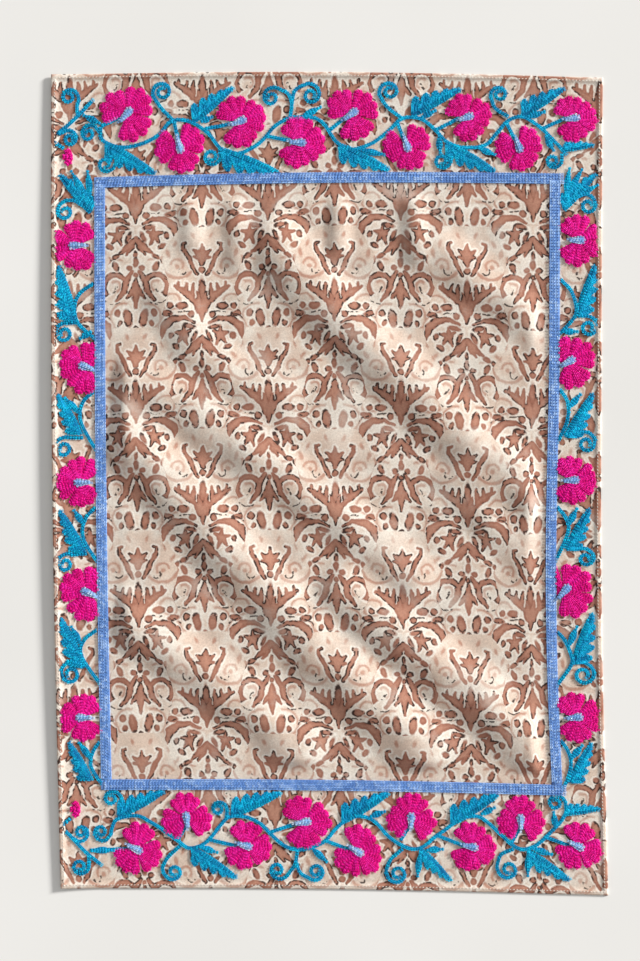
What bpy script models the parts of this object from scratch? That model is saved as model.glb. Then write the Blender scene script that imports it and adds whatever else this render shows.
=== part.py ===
"""Embroidered dish towel, 19 by 28 inches, lying open with its creases. Metres, +Z up, origin under its middle."""
import math
from collections import namedtuple

import bmesh
import bpy
from mathutils import Vector

MM = 0.001

# The cloth as it was cut, with its turned hem.
WIDTH = 483 * MM
LENGTH = 711 * MM
CLOTH_THICK = 1.2 * MM
HEM_WIDTH = 4 * MM
HEM_STEP = 0.8 * MM
HEM_THICK = 1.9 * MM
FIELD_STEP = 13.5 * MM
BORDER_STEP = 18 * MM

# The frame band: how far its middle line lies from each edge of the cloth.
BAND_FROM_TOP = 92 * MM
BAND_FROM_BOTTOM = 90.5 * MM
BAND_FROM_LEFT = 42.5 * MM
BAND_FROM_RIGHT = 41.5 * MM
BAND_WIDTH = 9.5 * MM
BAND_THICK = 1.2 * MM
BAND_EDGE_SHARE = 0.6
BAND_STEP = 22 * MM

# The raised stitching stands a hair above the cloth, and a hair apart from its neighbours.
CLEAR = 0.35 * MM
BLOSSOM_THICK = 1.4 * MM
BLOSSOM_RIM = 0.8 * MM
VINE_THICK = 1.0 * MM
STEM_WIDTH = 3.2 * MM
STEM_STEP = 6 * MM
CUTTER_HEIGHT = 20 * MM

# How the cloth lies: drawn up a little by its creases, skewed at its corners, bowed at its edges.
TAKE_UP_ACROSS = 0.988
TAKE_UP_ALONG = 0.994
CORNER_SHIFT = {
    "top left": (-2.6 * MM, 0.6 * MM),
    "top right": (-2.4 * MM, -2.1 * MM),
    "bottom right": (2.2 * MM, -3.3 * MM),
    "bottom left": (5.6 * MM, 2.8 * MM),
}
SIDE_BOW = 3.0 * MM
TOP_BOW = 3.7 * MM
BOTTOM_BOW = 2.4 * MM
TOP_BAND_SLOPE = 3.6 * MM
RIGHT_BAND_PULL = 4.5 * MM
PULL_REACH = 60 * MM
PULL_HEIGHT = 0.66
PULL_SPREAD = 0.34

# The left edge stands off the table, most at its middle.
LIFT = 3.0 * MM
LIFT_REACH = 40 * MM
LIFT_AT_CORNERS = 0.5
BAND_FLAT = 14 * MM

# Soft creases of the field, in the lying cloth's millimetres: height, width of the side that falls to the
# upper right, width of the side that falls to the lower left, length of the fade at each end, crest line.
Crease = namedtuple("Crease", "height upper lower fade crest")
CREASES = (
    Crease(4.6, 24, 18, 45, ((-56, 222), (-32, 188), (3, 148), (61, 92), (119, 38), (171, -7), (186, -25))),
    Crease(2.6, 20, 16, 40, ((-154, 170), (-127, 127), (-84, 98), (-46, 83))),
    Crease(2.8, 24, 18, 45, ((-184, 90), (-130, 72), (-84, 40), (-26, -5), (32, -49), (84, -92))),
    Crease(5.0, 24, 18, 45, ((-190, 51), (-147, 9), (-101, -43), (-54, -95), (-8, -147), (37, -187), (84, -228))),
    Crease(5.0, 24, 17, 40, ((-10, -75), (61, -133), (119, -176), (182, -232))),
    Crease(3.4, 22, 16, 40, ((-184, -112), (-118, -160), (-54, -205), (-26, -235))),
    Crease(3.0, 20, 18, 30, ((78, 214), (119, 182), (171, 144), (190, 126))),
    Crease(1.8, 13, 12, 22, ((-121, 256), (-118, 200))),
    Crease(1.8, 13, 12, 22, ((-82, 256), (-80, 180))),
    Crease(2.2, 11, 10, 24, ((7, 260), (8, 196))),
    Crease(2.2, 13, 11, 24, ((72, 260), (74, 190))),
)

# Blossoms, in flat millimetres: where the middle is, how wide, and which way the heart's round end points.
Blossom = namedtuple("Blossom", "name across along width turn")
BLOSSOMS = (
    Blossom("flower_top_1", -175, 321, 47, 45),
    Blossom("flower_top_2", -129, 292, 44, -75),
    Blossom("flower_top_3", -76, 313, 45, 20),
    Blossom("flower_top_4", -24, 294, 45, -5),
    Blossom("flower_top_5", 22, 319, 47, 35),
    Blossom("flower_top_6", 70, 291, 43, -70),
    Blossom("flower_top_7", 123, 317, 42, 20),
    Blossom("flower_top_8", 168, 291, 42, -70),
    Blossom("flower_top_9", 216, 318, 42, 10),
    Blossom("flower_left_1", -220, 207, 46, 180),
    Blossom("flower_left_2", -212, 100, 46, 160),
    Blossom("flower_left_3", -217, -1, 43, 180),
    Blossom("flower_left_4", -212, -97, 48, 155),
    Blossom("flower_left_5", -219, -206, 42, 178),
    Blossom("flower_right_1", 221, 212, 43, 0),
    Blossom("flower_right_2", 213, 108, 46, 30),
    Blossom("flower_right_3", 218, 5, 42, 5),
    Blossom("flower_right_4", 212, -91, 48, 50),
    Blossom("flower_right_5", 219, -201, 43, 8),
    Blossom("flower_bottom_1", -174, -321, 45, -25),
    Blossom("flower_bottom_2", -129, -294, 43, 95),
    Blossom("flower_bottom_3", -77, -318, 43, -15),
    Blossom("flower_bottom_4", -25, -297, 46, 10),
    Blossom("flower_bottom_5", 21, -322, 45, -30),
    Blossom("flower_bottom_6", 69, -293, 43, 85),
    Blossom("flower_bottom_7", 122, -316, 43, -10),
    Blossom("flower_bottom_8", 166, -292, 42, 90),
    Blossom("flower_bottom_9", 216, -313, 42, -25),
)
BUDS = (
    Blossom("bud_top", -223, 286, 17, 180),
    Blossom("bud_bottom", -223, -286, 17, 180),
)

# Three fans of four scallops stand round a blossom's heart, with a gap for the stem behind it.
FAN_TURNS = (0, 115, 245)
SCALLOP_PITCH = 25
SCALLOP_REACH = (0.93, 1.0, 1.0, 0.93)
DIP_REACH = 0.88
FAN_NOTCH = 0.58
STEM_NOTCH = 0.40

# Stems and leaves of each length of vine, in flat millimetres. A leaf runs from its foot to its tip, and its
# lobes are on the side that the last value gives: 1 to the left of that way, -1 to the right.
Leaf = namedtuple("Leaf", "foot tip side")
Spray = namedtuple("Spray", "name stems leaves")
SPRAYS = (
    Spray(
        "vine_top",
        (
            ((-198, 311), (-198, 302), (-191, 296), (-178, 293), (-161, 296), (-147, 303), (-138, 313),
             (-128, 315), (-117, 312), (-104, 303), (-95, 292), (-87, 286), (-75, 286), (-62, 292), (-54, 299),
             (-46, 308), (-34, 315), (-23, 316), (-10, 315), (-1, 308), (8, 295), (21, 288), (39, 293),
             (54, 304), (66, 315), (82, 315), (95, 305), (105, 295), (119, 290), (138, 292), (148, 302),
             (157, 313), (166, 318), (175, 317), (188, 308), (200, 296), (209, 286)),
        ),
        (
            Leaf((-194, 298), (-150, 270), -1),
            Leaf((-117, 312), (-82, 342), 1),
            Leaf((-93, 290), (-40, 267), -1),
            Leaf((10, 293), (55, 270), -1),
            Leaf((74, 317), (117, 342), 1),
            Leaf((104, 295), (148, 269), -1),
            Leaf((171, 318), (208, 345), 1),
            Leaf((206, 288), (234, 294), 1),
        ),
    ),
    Spray("spray_top_corner", (((-230, 293), (-238, 299), (-236, 305), (-226, 313), (-216, 322), (-206, 332)),), ()),
    Spray("spray_left_1", (), (Leaf((-207, 236), (-234, 271), -1),)),
    Spray("spray_left_2", (((-202, 174), (-216, 164), (-221, 152), (-218, 138), (-202, 123)),),
          (Leaf((-219, 138), (-235, 189), 1),)),
    Spray("spray_left_3", (((-202, 80), (-214, 69), (-216, 52), (-202, 25)),), (Leaf((-215, 41), (-236, 77), 1),)),
    Spray("spray_left_4", (((-202, -21), (-213, -33), (-215, -50), (-202, -72)),),
          (Leaf((-213, -62), (-235, -25), 1),)),
    Spray("spray_left_5", (((-202, -128), (-216, -139), (-218, -153), (-202, -178)),),
          (Leaf((-215, -163), (-236, -118), 1),)),
    Spray("spray_left_6", (((-202, -225), (-210, -236), (-212, -249), (-202, -266)),),
          (Leaf((-211, -261), (-231, -227), 1),)),
    Spray("spray_right_1", (), (Leaf((208, 236), (236, 268), 1),)),
    Spray("spray_right_2", (((203, 181), (214, 170), (219, 156), (217, 146), (203, 130)),),
          (Leaf((219, 148), (235, 192), -1),)),
    Spray("spray_right_3", (((203, 86), (212, 73), (212, 56), (203, 35)),), (Leaf((210, 42), (234, 81), -1),)),
    Spray("spray_right_4", (((203, -16), (213, -29), (214, -42), (203, -68)),),
          (Leaf((212, -55), (232, -19), -1),)),
    Spray("spray_right_5", (((203, -125), (211, -134), (216, -146), (216, -156), (203, -175)),),
          (Leaf((217, -155), (234, -110), -1),)),
    Spray("spray_right_6", (((203, -219), (210, -229), (213, -241), (209, -256), (203, -266)),),
          (Leaf((210, -258), (231, -223), -1),)),
    Spray("spray_bottom_corner", (((-231, -294), (-238, -301), (-230, -311), (-218, -324), (-206, -334)),), ()),
    Spray(
        "vine_bottom",
        (
            ((-196, -309), (-195, -303), (-190, -295), (-173, -292), (-160, -298), (-148, -306), (-137, -314),
             (-128, -320), (-117, -318), (-108, -311), (-99, -300), (-91, -293), (-77, -293), (-64, -299),
             (-55, -308), (-43, -318), (-31, -321), (-19, -319), (-7, -313), (3, -302), (15, -293), (28, -292),
             (38, -297), (48, -308), (58, -315), (69, -319), (79, -317), (90, -308), (100, -301), (110, -293),
             (120, -290), (129, -290), (138, -296), (147, -304), (157, -313), (165, -317), (173, -316),
             (181, -312), (190, -304), (201, -293), (207, -284)),
        ),
        (
            Leaf((-190, -294), (-148, -271), 1),
            Leaf((-90, -293), (-45, -272), 1),
            Leaf((8, -298), (50, -271), 1),
            Leaf((104, -298), (147, -270), 1),
            Leaf((-125, -319), (-86, -346), -1),
            Leaf((77, -318), (103, -346), -1),
            Leaf((171, -317), (208, -343), -1),
            Leaf((206, -286), (236, -280), 1),
        ),
    ),
)
LEAF_WIDTH = 0.25
LEAF_BACK = 0.05
LEAF_TIP = 0.03
# How far along the leaf each lobe ends, and its share of the leaf's width.
LEAF_LOBES = ((0.24, 1.0), (0.43, 0.88), (0.60, 0.70), (0.77, 0.48))
LOBE_DIP = 0.62
STITCH_LIMIT = 5.3 * MM

# Colours and finish of the stitching and the cloth: base colour, roughness.
MATERIALS = {
    "cotton_print": ((0.80, 0.72, 0.63), 0.9),
    "thread_magenta": ((0.66, 0.005, 0.22), 0.55),
    "thread_turquoise": ((0.005, 0.30, 0.52), 0.55),
    "thread_blue": ((0.11, 0.27, 0.66), 0.55),
}


def soft_bump(q):
    """1 at q = 0, falling smoothly to 0 at q = 1 and -1."""
    return (1 - q * q) ** 2 if abs(q) < 1 else 0.0


def smooth_step(q):
    q = min(max(q, 0.0), 1.0)
    return q * q * (3 - 2 * q)


def lay_free(u, v):
    """Where the flat cloth's point (u, v) lies, before the towel is centred on the origin."""
    across = u / WIDTH + 0.5
    down = 0.5 - v / LENGTH
    share = {
        "top left": (1 - across) * (1 - down),
        "top right": across * (1 - down),
        "bottom right": across * down,
        "bottom left": (1 - across) * down,
    }
    x = u * TAKE_UP_ACROSS + sum(share[k] * CORNER_SHIFT[k][0] for k in share)
    y = v * TAKE_UP_ALONG + sum(share[k] * CORNER_SHIFT[k][1] for k in share)
    x -= SIDE_BOW * math.sin(math.pi * down)
    y += (TOP_BOW * (1 - down) + BOTTOM_BOW * down) * math.sin(math.pi * across)
    band_v = LENGTH / 2 - BAND_FROM_TOP
    y += TOP_BAND_SLOPE * 2 * u / WIDTH * soft_bump((v - band_v) / BAND_FROM_TOP)
    band_u = WIDTH / 2 - BAND_FROM_RIGHT
    x -= RIGHT_BAND_PULL * soft_bump((u - band_u) / PULL_REACH) * soft_bump((down - PULL_HEIGHT) / PULL_SPREAD)
    return x, y


def outline_middle(steps=60):
    """The middle of the lying towel's box."""
    shares = [k / steps - 0.5 for k in range(steps + 1)]
    edge = [lay_free(side * WIDTH / 2, s * LENGTH) for side in (-1, 1) for s in shares]
    edge += [lay_free(s * WIDTH, side * LENGTH / 2) for side in (-1, 1) for s in shares]
    xs, ys = zip(*edge)
    return (min(xs) + max(xs)) / 2, (min(ys) + max(ys)) / 2


MIDDLE_X, MIDDLE_Y = outline_middle()


def lay(u, v):
    x, y = lay_free(u, v)
    return x - MIDDLE_X, y - MIDDLE_Y


def crease_height(crease, x, y):
    """Height of one crease at a place of the lying cloth, in millimetres."""
    best = None
    run = 0.0
    for (x0, y0), (x1, y1) in zip(crease.crest, crease.crest[1:]):
        length = math.hypot(x1 - x0, y1 - y0)
        ax, ay = (x1 - x0) / length, (y1 - y0) / length
        along = min(max((x - x0) * ax + (y - y0) * ay, 0), length)
        dx, dy = x - x0 - ax * along, y - y0 - ay * along
        away = math.hypot(dx, dy)
        if best is None or away < best[0]:
            best = (away, run + along, ax * dy - ay * dx)
        run += length
    away, along, side = best
    width = crease.upper if side > 0 else crease.lower
    fade = smooth_step(min(along, run - along) / crease.fade)
    return crease.height * fade * soft_bump(away / width)


def rise(u, v):
    """Height of the cloth's underside above the table at the flat point (u, v)."""
    left = u + WIDTH / 2 - BAND_FROM_LEFT
    right = WIDTH / 2 - BAND_FROM_RIGHT - u
    top = LENGTH / 2 - BAND_FROM_TOP - v
    bottom = v + LENGTH / 2 - BAND_FROM_BOTTOM
    inside = smooth_step((min(left, right, top, bottom) - BAND_WIDTH) / BAND_FLAT)
    x, y = lay(u, v)
    creases = sum(crease_height(c, x / MM, y / MM) for c in CREASES) * MM * inside if inside > 0 else 0.0
    out = max(0.0, 1 - (u + WIDTH / 2) / LIFT_REACH)
    share = LIFT_AT_CORNERS + (1 - LIFT_AT_CORNERS) * math.sin(math.pi * (0.5 - v / LENGTH))
    return creases + LIFT * share * out * out


def on_cloth(u, v, above):
    """A point at a height above the cloth's upper face."""
    x, y = lay(u, v)
    return Vector((x, y, rise(u, v) + CLOTH_THICK + above))


def steps_between(start, end, pitch):
    """Even steps from start to end, no longer than the pitch, without the end itself."""
    count = max(1, math.ceil((end - start) / pitch))
    return [start + (end - start) * k / count for k in range(count)]


def grid_lines(size, low_band, high_band):
    """Lines of the cloth's grid: close at the hem, wide in the border, closer again in the creased field."""
    edge = size / 2
    low_hem = [-edge, -edge + HEM_WIDTH]
    high_hem = [edge - HEM_WIDTH - HEM_STEP, edge - HEM_WIDTH, edge]
    lines = low_hem + steps_between(-edge + HEM_WIDTH + HEM_STEP, -edge + low_band, BORDER_STEP)
    lines += steps_between(-edge + low_band, edge - high_band, FIELD_STEP)
    lines += steps_between(edge - high_band, edge - HEM_WIDTH - HEM_STEP, BORDER_STEP)
    return lines + high_hem


def new_object(name, mesh, slot, collection):
    obj = bpy.data.objects.new(name, mesh)
    mesh.materials.append(bpy.data.materials[slot])
    collection.objects.link(obj)
    return obj


def grid_mesh(name, columns, rows, place):
    """An open grid whose points are placed by their column and row."""
    bm = bmesh.new()
    bmesh.ops.create_grid(bm, x_segments=len(columns) - 1, y_segments=len(rows) - 1, size=1)
    for vert in bm.verts:
        i = round((vert.co.x + 1) / 2 * (len(columns) - 1))
        j = round((vert.co.y + 1) / 2 * (len(rows) - 1))
        vert.co = place(columns[i], rows[j])
    mesh = bpy.data.meshes.new(name)
    bm.to_mesh(mesh)
    bm.free()
    return mesh


def thicken(obj, thick, thin, is_thick):
    """Solidify upwards, thick where is_thick says so of a point's number and thin elsewhere."""
    group = obj.vertex_groups.new(name="thick")
    group.add([n for n in range(len(obj.data.vertices)) if is_thick[n]], 1.0, "REPLACE")
    solid = obj.modifiers.new("thickness", "SOLIDIFY")
    solid.thickness = thick
    solid.offset = 1
    solid.vertex_group = group.name
    solid.thickness_vertex_group = thin / thick


def build_cloth(collection):
    columns = grid_lines(WIDTH, BAND_FROM_LEFT, BAND_FROM_RIGHT)
    rows = grid_lines(LENGTH, BAND_FROM_BOTTOM, BAND_FROM_TOP)
    flat = grid_mesh("cloth_flat", columns, rows, lambda u, v: (u, v, 0))
    hem_u = WIDTH / 2 - HEM_WIDTH * 1.1
    hem_v = LENGTH / 2 - HEM_WIDTH * 1.1
    is_hem = [abs(p.co.x) > hem_u or abs(p.co.y) > hem_v for p in flat.vertices]
    bpy.data.meshes.remove(flat)
    mesh = grid_mesh("cloth", columns, rows, lambda u, v: (*lay(u, v), rise(u, v)))
    cloth = new_object("cloth", mesh, "cotton_print", collection)
    thicken(cloth, HEM_THICK, CLOTH_THICK, is_hem)


def band_lengths():
    """Each length of the band: name, start and end of its middle line on the flat cloth."""
    left, right = -WIDTH / 2 + BAND_FROM_LEFT, WIDTH / 2 - BAND_FROM_RIGHT
    bottom, top = -LENGTH / 2 + BAND_FROM_BOTTOM, LENGTH / 2 - BAND_FROM_TOP
    half = BAND_WIDTH / 2
    inner = half + CLEAR
    return (
        ("band_top", (left - half, top), (right + half, top)),
        ("band_bottom", (left - half, bottom), (right + half, bottom)),
        ("band_left", (left, bottom + inner), (left, top - inner)),
        ("band_right", (right, bottom + inner), (right, top - inner)),
    )


def build_band(collection):
    across = [BAND_WIDTH * k for k in (-0.5, -0.3, 0.3, 0.5)]
    for name, start, end in band_lengths():
        start, end = Vector(start), Vector(end)
        way = (end - start).normalized()
        side = Vector((-way.y, way.x))
        count = max(2, round((end - start).length / BAND_STEP))
        along = [(end - start).length * k / count for k in range(count + 1)]

        def place(a, s):
            u, v = start + way * a + side * s
            return on_cloth(u, v, CLEAR)

        mesh = grid_mesh(name, along, across, place)
        flat = grid_mesh(name + "_flat", along, across, lambda a, s: (a, s, 0))
        is_inner = [abs(p.co.y) < BAND_WIDTH * 0.4 for p in flat.vertices]
        bpy.data.meshes.remove(flat)
        band = new_object(name, mesh, "thread_blue", collection)
        thicken(band, BAND_THICK, BAND_THICK * BAND_EDGE_SHARE, is_inner)


def blossom_edge():
    """The blossom's outline round its heart: turn in degrees from the heart's round end, share of its radius."""
    points = []
    half_fan = SCALLOP_PITCH * (len(SCALLOP_REACH) - 1) / 2
    for number, fan in enumerate(FAN_TURNS):
        for k, reach in enumerate(SCALLOP_REACH):
            turn = fan - half_fan + k * SCALLOP_PITCH
            points.append((turn, reach))
            if k < len(SCALLOP_REACH) - 1:
                points.append((turn + SCALLOP_PITCH / 2, DIP_REACH))
        following = FAN_TURNS[number + 1] if number + 1 < len(FAN_TURNS) else FAN_TURNS[0] + 360
        between = (fan + following) / 2
        points.append((between, STEM_NOTCH if abs(between - 180) < 5 else FAN_NOTCH))
    return points


def bud_edge():
    """A bud's outline: three scallops that point away from its stem."""
    return [(-62, 0.8), (-31, 0.62), (0, 1.0), (31, 0.62), (62, 0.8), (120, 0.5), (180, 0.7), (240, 0.5)]


def patch_mesh(name, flower, edge, grow, place):
    """A domed disc with the outline of edge; place turns a flat point and a height into a point in space."""
    bm = bmesh.new()
    bmesh.ops.create_cone(
        bm, cap_ends=True, cap_tris=True, segments=len(edge), radius1=1, radius2=1, depth=2
    )
    for vert in bm.verts:
        upper = vert.co.z > 0
        if math.hypot(vert.co.x, vert.co.y) < 0.5:
            vert.co = place(flower.across * MM, flower.along * MM, 1.0 if upper else 0.0)
            continue
        k = round(math.atan2(vert.co.y, vert.co.x) / (2 * math.pi) * len(edge)) % len(edge)
        turn, reach = edge[k]
        radius = flower.width / 2 * MM * reach + grow
        angle = math.radians(flower.turn + turn)
        u = flower.across * MM + radius * math.cos(angle)
        v = flower.along * MM + radius * math.sin(angle)
        vert.co = place(u, v, BLOSSOM_RIM / BLOSSOM_THICK if upper else 0.0)
    mesh = bpy.data.meshes.new(name)
    bm.to_mesh(mesh)
    bm.free()
    return mesh


def flat_place(height):
    """Places points of a straight-sided cutter or patch over the flat cloth."""
    return lambda u, v, share: (u, v, (share - 0.5) * height)


def smooth_path(points, pitch):
    """Catmull-Rom curve through the points, in metres, with a point every pitch or so."""
    spots = [Vector(p) * MM for p in points]
    ends = [spots[0] * 2 - spots[1]] + spots + [spots[-1] * 2 - spots[-2]]
    path = []
    for before, start, end, after in zip(ends, ends[1:], ends[2:], ends[3:]):
        count = max(1, round((end - start).length / pitch))
        for k in range(count):
            t = k / count
            path.append(0.5 * (2 * start + (end - before) * t
                               + (2 * before - 5 * start + 4 * end - after) * t * t
                               + (3 * start - before - 3 * end + after) * t ** 3))
    return path + [spots[-1]]


def stem_outline(points):
    """The two sides of a stem of even width along a smooth path."""
    path = smooth_path(points, STEM_STEP)
    left, right = [], []
    for n, spot in enumerate(path):
        way = (path[min(n + 1, len(path) - 1)] - path[max(n - 1, 0)]).normalized()
        side = Vector((-way.y, way.x)) * STEM_WIDTH / 2
        left.append(spot + side)
        right.append(spot - side)
    return left + right[::-1]


def leaf_outline(leaf):
    """A long leaf with a plain edge on one side and swept lobes on the other."""
    foot, tip = Vector(leaf.foot) * MM, Vector(leaf.tip) * MM
    way = tip - foot
    side = Vector((-way.y, way.x)) * leaf.side
    edge = [(0.0, LEAF_TIP)]
    for end, share in LEAF_LOBES:
        edge += [(end - 0.10, LEAF_WIDTH * share * 0.85), (end, LEAF_WIDTH * share)]
        edge += [(end + 0.01, LEAF_WIDTH * share * LOBE_DIP)]
    edge += [(1.0, LEAF_TIP), (1.0, -LEAF_TIP), (0.6, -LEAF_BACK), (0.15, -LEAF_BACK)]
    points = [foot + way * t + side * w for t, w in edge]
    return points if leaf.side < 0 else points[::-1]


def prism(name, outline, low, high, collection):
    """A straight-sided solid over a flat outline."""
    curve = bpy.data.curves.new(name, "CURVE")
    curve.dimensions = "2D"
    curve.fill_mode = "BOTH"
    curve.extrude = (high - low) / 2
    spline = curve.splines.new("POLY")
    spline.points.add(len(outline) - 1)
    for point, spot in zip(spline.points, outline):
        point.co = (spot.x, spot.y, 0, 1)
    spline.use_cyclic_u = True
    guide = bpy.data.objects.new(name + "_outline", curve)
    guide.location.z = (low + high) / 2
    collection.objects.link(guide)
    bpy.context.view_layer.update()
    evaluated = guide.evaluated_get(bpy.context.evaluated_depsgraph_get())
    mesh = bpy.data.meshes.new_from_object(evaluated)
    mesh.transform(guide.matrix_world)
    bpy.data.objects.remove(guide)
    bpy.data.curves.remove(curve)
    bm = bmesh.new()
    bm.from_mesh(mesh)
    bmesh.ops.remove_doubles(bm, verts=bm.verts, dist=0.00001)
    bmesh.ops.recalc_face_normals(bm, faces=bm.faces)
    bm.to_mesh(mesh)
    bm.free()
    obj = bpy.data.objects.new(name, mesh)
    collection.objects.link(obj)
    return obj


def hide_cutter(obj):
    obj.hide_render = True
    obj.display_type = "WIRE"


def box_cutter(name, low, high, collection):
    """A tall box between two corners of the flat cloth."""
    size = Vector((high[0] - low[0], high[1] - low[1], CUTTER_HEIGHT))
    middle = Vector(((low[0] + high[0]) / 2, (low[1] + high[1]) / 2, 0))
    bm = bmesh.new()
    bmesh.ops.create_cube(bm, size=1)
    for vert in bm.verts:
        vert.co = Vector(a * b for a, b in zip(vert.co, size)) + middle
    mesh = bpy.data.meshes.new(name)
    bm.to_mesh(mesh)
    bm.free()
    cutter = bpy.data.objects.new(name, mesh)
    collection.objects.link(cutter)
    hide_cutter(cutter)


def apart_cutters(cutters):
    """Flat solids a hair larger than the band, the hem and the blossoms keep other stitching apart from them."""
    bands = bpy.data.collections.new("band_cutters")
    flowers = bpy.data.collections.new("flower_cutters")
    for collection in (bands, flowers):
        cutters.children.link(collection)
    around = BAND_WIDTH / 2 + CLEAR
    for name, start, end in band_lengths():
        low = [min(a, b) - around for a, b in zip(start, end)]
        high = [max(a, b) + around for a, b in zip(start, end)]
        box_cutter(name + "_cutter", low, high, bands)
    half = (WIDTH / 2, LENGTH / 2)
    hem_inside = [size - STITCH_LIMIT for size in half]
    box_cutter("hem_left_cutter", (-2 * half[0], -2 * half[1]), (-hem_inside[0], 2 * half[1]), bands)
    box_cutter("hem_right_cutter", (hem_inside[0], -2 * half[1]), (2 * half[0], 2 * half[1]), bands)
    for flower in BLOSSOMS + BUDS:
        edge = bud_edge() if flower in BUDS else blossom_edge()
        mesh = patch_mesh(flower.name + "_cutter", flower, edge, 1.5 * CLEAR, flat_place(CUTTER_HEIGHT))
        cutter = bpy.data.objects.new(flower.name + "_cutter", mesh)
        flowers.objects.link(cutter)
        hide_cutter(cutter)
    return bands, flowers


def boolean(obj, operation, collection):
    step = obj.modifiers.new(operation.lower(), "BOOLEAN")
    step.operation = operation
    step.operand_type = "COLLECTION"
    step.collection = collection
    step.solver = "EXACT"


def largest_body(bm):
    """Leaves the largest joined body: a crumb that a cutter parts from a stem has no stitches of its own."""
    unseen = set(bm.verts)
    bodies = []
    while unseen:
        front = [unseen.pop()]
        body = set(front)
        while front:
            vert = front.pop()
            for edge in vert.link_edges:
                other = edge.other_vert(vert)
                if other in unseen:
                    unseen.remove(other)
                    body.add(other)
                    front.append(other)
        bodies.append(body)
    bodies.sort(key=lambda body: sum(f.calc_area() for f in {f for v in body for f in v.link_faces}))
    for body in bodies[:-1]:
        bmesh.ops.delete(bm, geom=list(body), context="VERTS")


def lay_solid(obj, name, slot, top_share, collection, cutters):
    """Takes a flat solid as its modifiers leave it, and lays it on the cloth."""
    bpy.context.view_layer.update()
    evaluated = obj.evaluated_get(bpy.context.evaluated_depsgraph_get())
    mesh = bpy.data.meshes.new_from_object(evaluated)
    bpy.data.objects.remove(obj)
    bm = bmesh.new()
    bm.from_mesh(mesh)
    bmesh.ops.remove_doubles(bm, verts=bm.verts, dist=0.00001)
    largest_body(bm)
    bmesh.ops.triangulate(bm, faces=bm.faces)
    for vert in bm.verts:
        vert.co = on_cloth(vert.co.x, vert.co.y, CLEAR + top_share(vert.co.z))
    bm.to_mesh(mesh)
    bm.free()
    mesh.materials.clear()
    new_object(name, mesh, slot, collection)


def build_blossoms(collection, scratch, band_cutters):
    """Blossoms that meet the upright band are cut off beside it; the others lie whole."""
    for flower in BLOSSOMS + BUDS:
        edge = bud_edge() if flower in BUDS else blossom_edge()
        if flower.name.startswith(("flower_left", "flower_right")):
            mesh = patch_mesh(flower.name, flower, edge, 0, lambda u, v, share: (u, v, share * BLOSSOM_THICK))
            patch = bpy.data.objects.new(flower.name + "_flat", mesh)
            scratch.objects.link(patch)
            boolean(patch, "DIFFERENCE", band_cutters)
            lay_solid(patch, flower.name, "thread_magenta", lambda z: z, collection, scratch)
        else:
            mesh = patch_mesh(
                flower.name, flower, edge, 0,
                lambda u, v, share: on_cloth(u, v, CLEAR + share * BLOSSOM_THICK),
            )
            new_object(flower.name, mesh, "thread_magenta", collection)


def build_vines(collection, scratch, band_cutters, flower_cutters):
    """Each length of vine is one solid: its stems and leaves joined, cut clear of blossoms and band."""
    sink = 0.02 * MM
    for spray in SPRAYS:
        pieces = bpy.data.collections.new(spray.name + "_pieces")
        scratch.children.link(pieces)
        outlines = [stem_outline(stem) for stem in spray.stems] + [leaf_outline(leaf) for leaf in spray.leaves]
        solids = [
            prism(f"{spray.name}_{k}", outline, -sink * k, VINE_THICK - sink * k, scratch)
            for k, outline in enumerate(outlines)
        ]
        first, others = solids[0], solids[1:]
        for other in others:
            scratch.objects.unlink(other)
            pieces.objects.link(other)
            hide_cutter(other)
        if others:
            boolean(first, "UNION", pieces)
        boolean(first, "DIFFERENCE", band_cutters)
        boolean(first, "DIFFERENCE", flower_cutters)
        lay_solid(
            first, spray.name, "thread_turquoise",
            lambda z: VINE_THICK if z > VINE_THICK / 2 else 0.0, collection, scratch,
        )
        for other in others:
            bpy.data.objects.remove(other)
        bpy.data.collections.remove(pieces)


def make_materials():
    for slot, (colour, roughness) in MATERIALS.items():
        material = bpy.data.materials.new(slot)
        material.use_nodes = True
        shader = material.node_tree.nodes["Principled BSDF"]
        shader.inputs["Base Color"].default_value = (*colour, 1)
        shader.inputs["Roughness"].default_value = roughness
        shader.inputs["Metallic"].default_value = 0.0


def main():
    for obj in list(bpy.data.objects):
        bpy.data.objects.remove(obj)
    towel = bpy.data.collections.new("embroidered_dish_towel")
    cutters = bpy.data.collections.new("cutters")
    for collection in (towel, cutters):
        bpy.context.scene.collection.children.link(collection)
    make_materials()
    band_cutters, flower_cutters = apart_cutters(cutters)
    build_cloth(towel)
    build_band(towel)
    build_blossoms(towel, cutters, band_cutters)
    build_vines(towel, cutters, band_cutters, flower_cutters)


main()
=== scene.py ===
# %% [markdown]
# # An embroidered dish towel
# A printed cotton towel lies open on a table. It has soft creases, a stitched hem, and a border worked in
# chain stitch: blossoms, a running vine and a frame band. This lesson dresses the plain solids of the frame
# with the real cloth and the real stitches, one finish at a time.

# %% Load the frame
import math
import random
from collections import namedtuple

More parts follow.
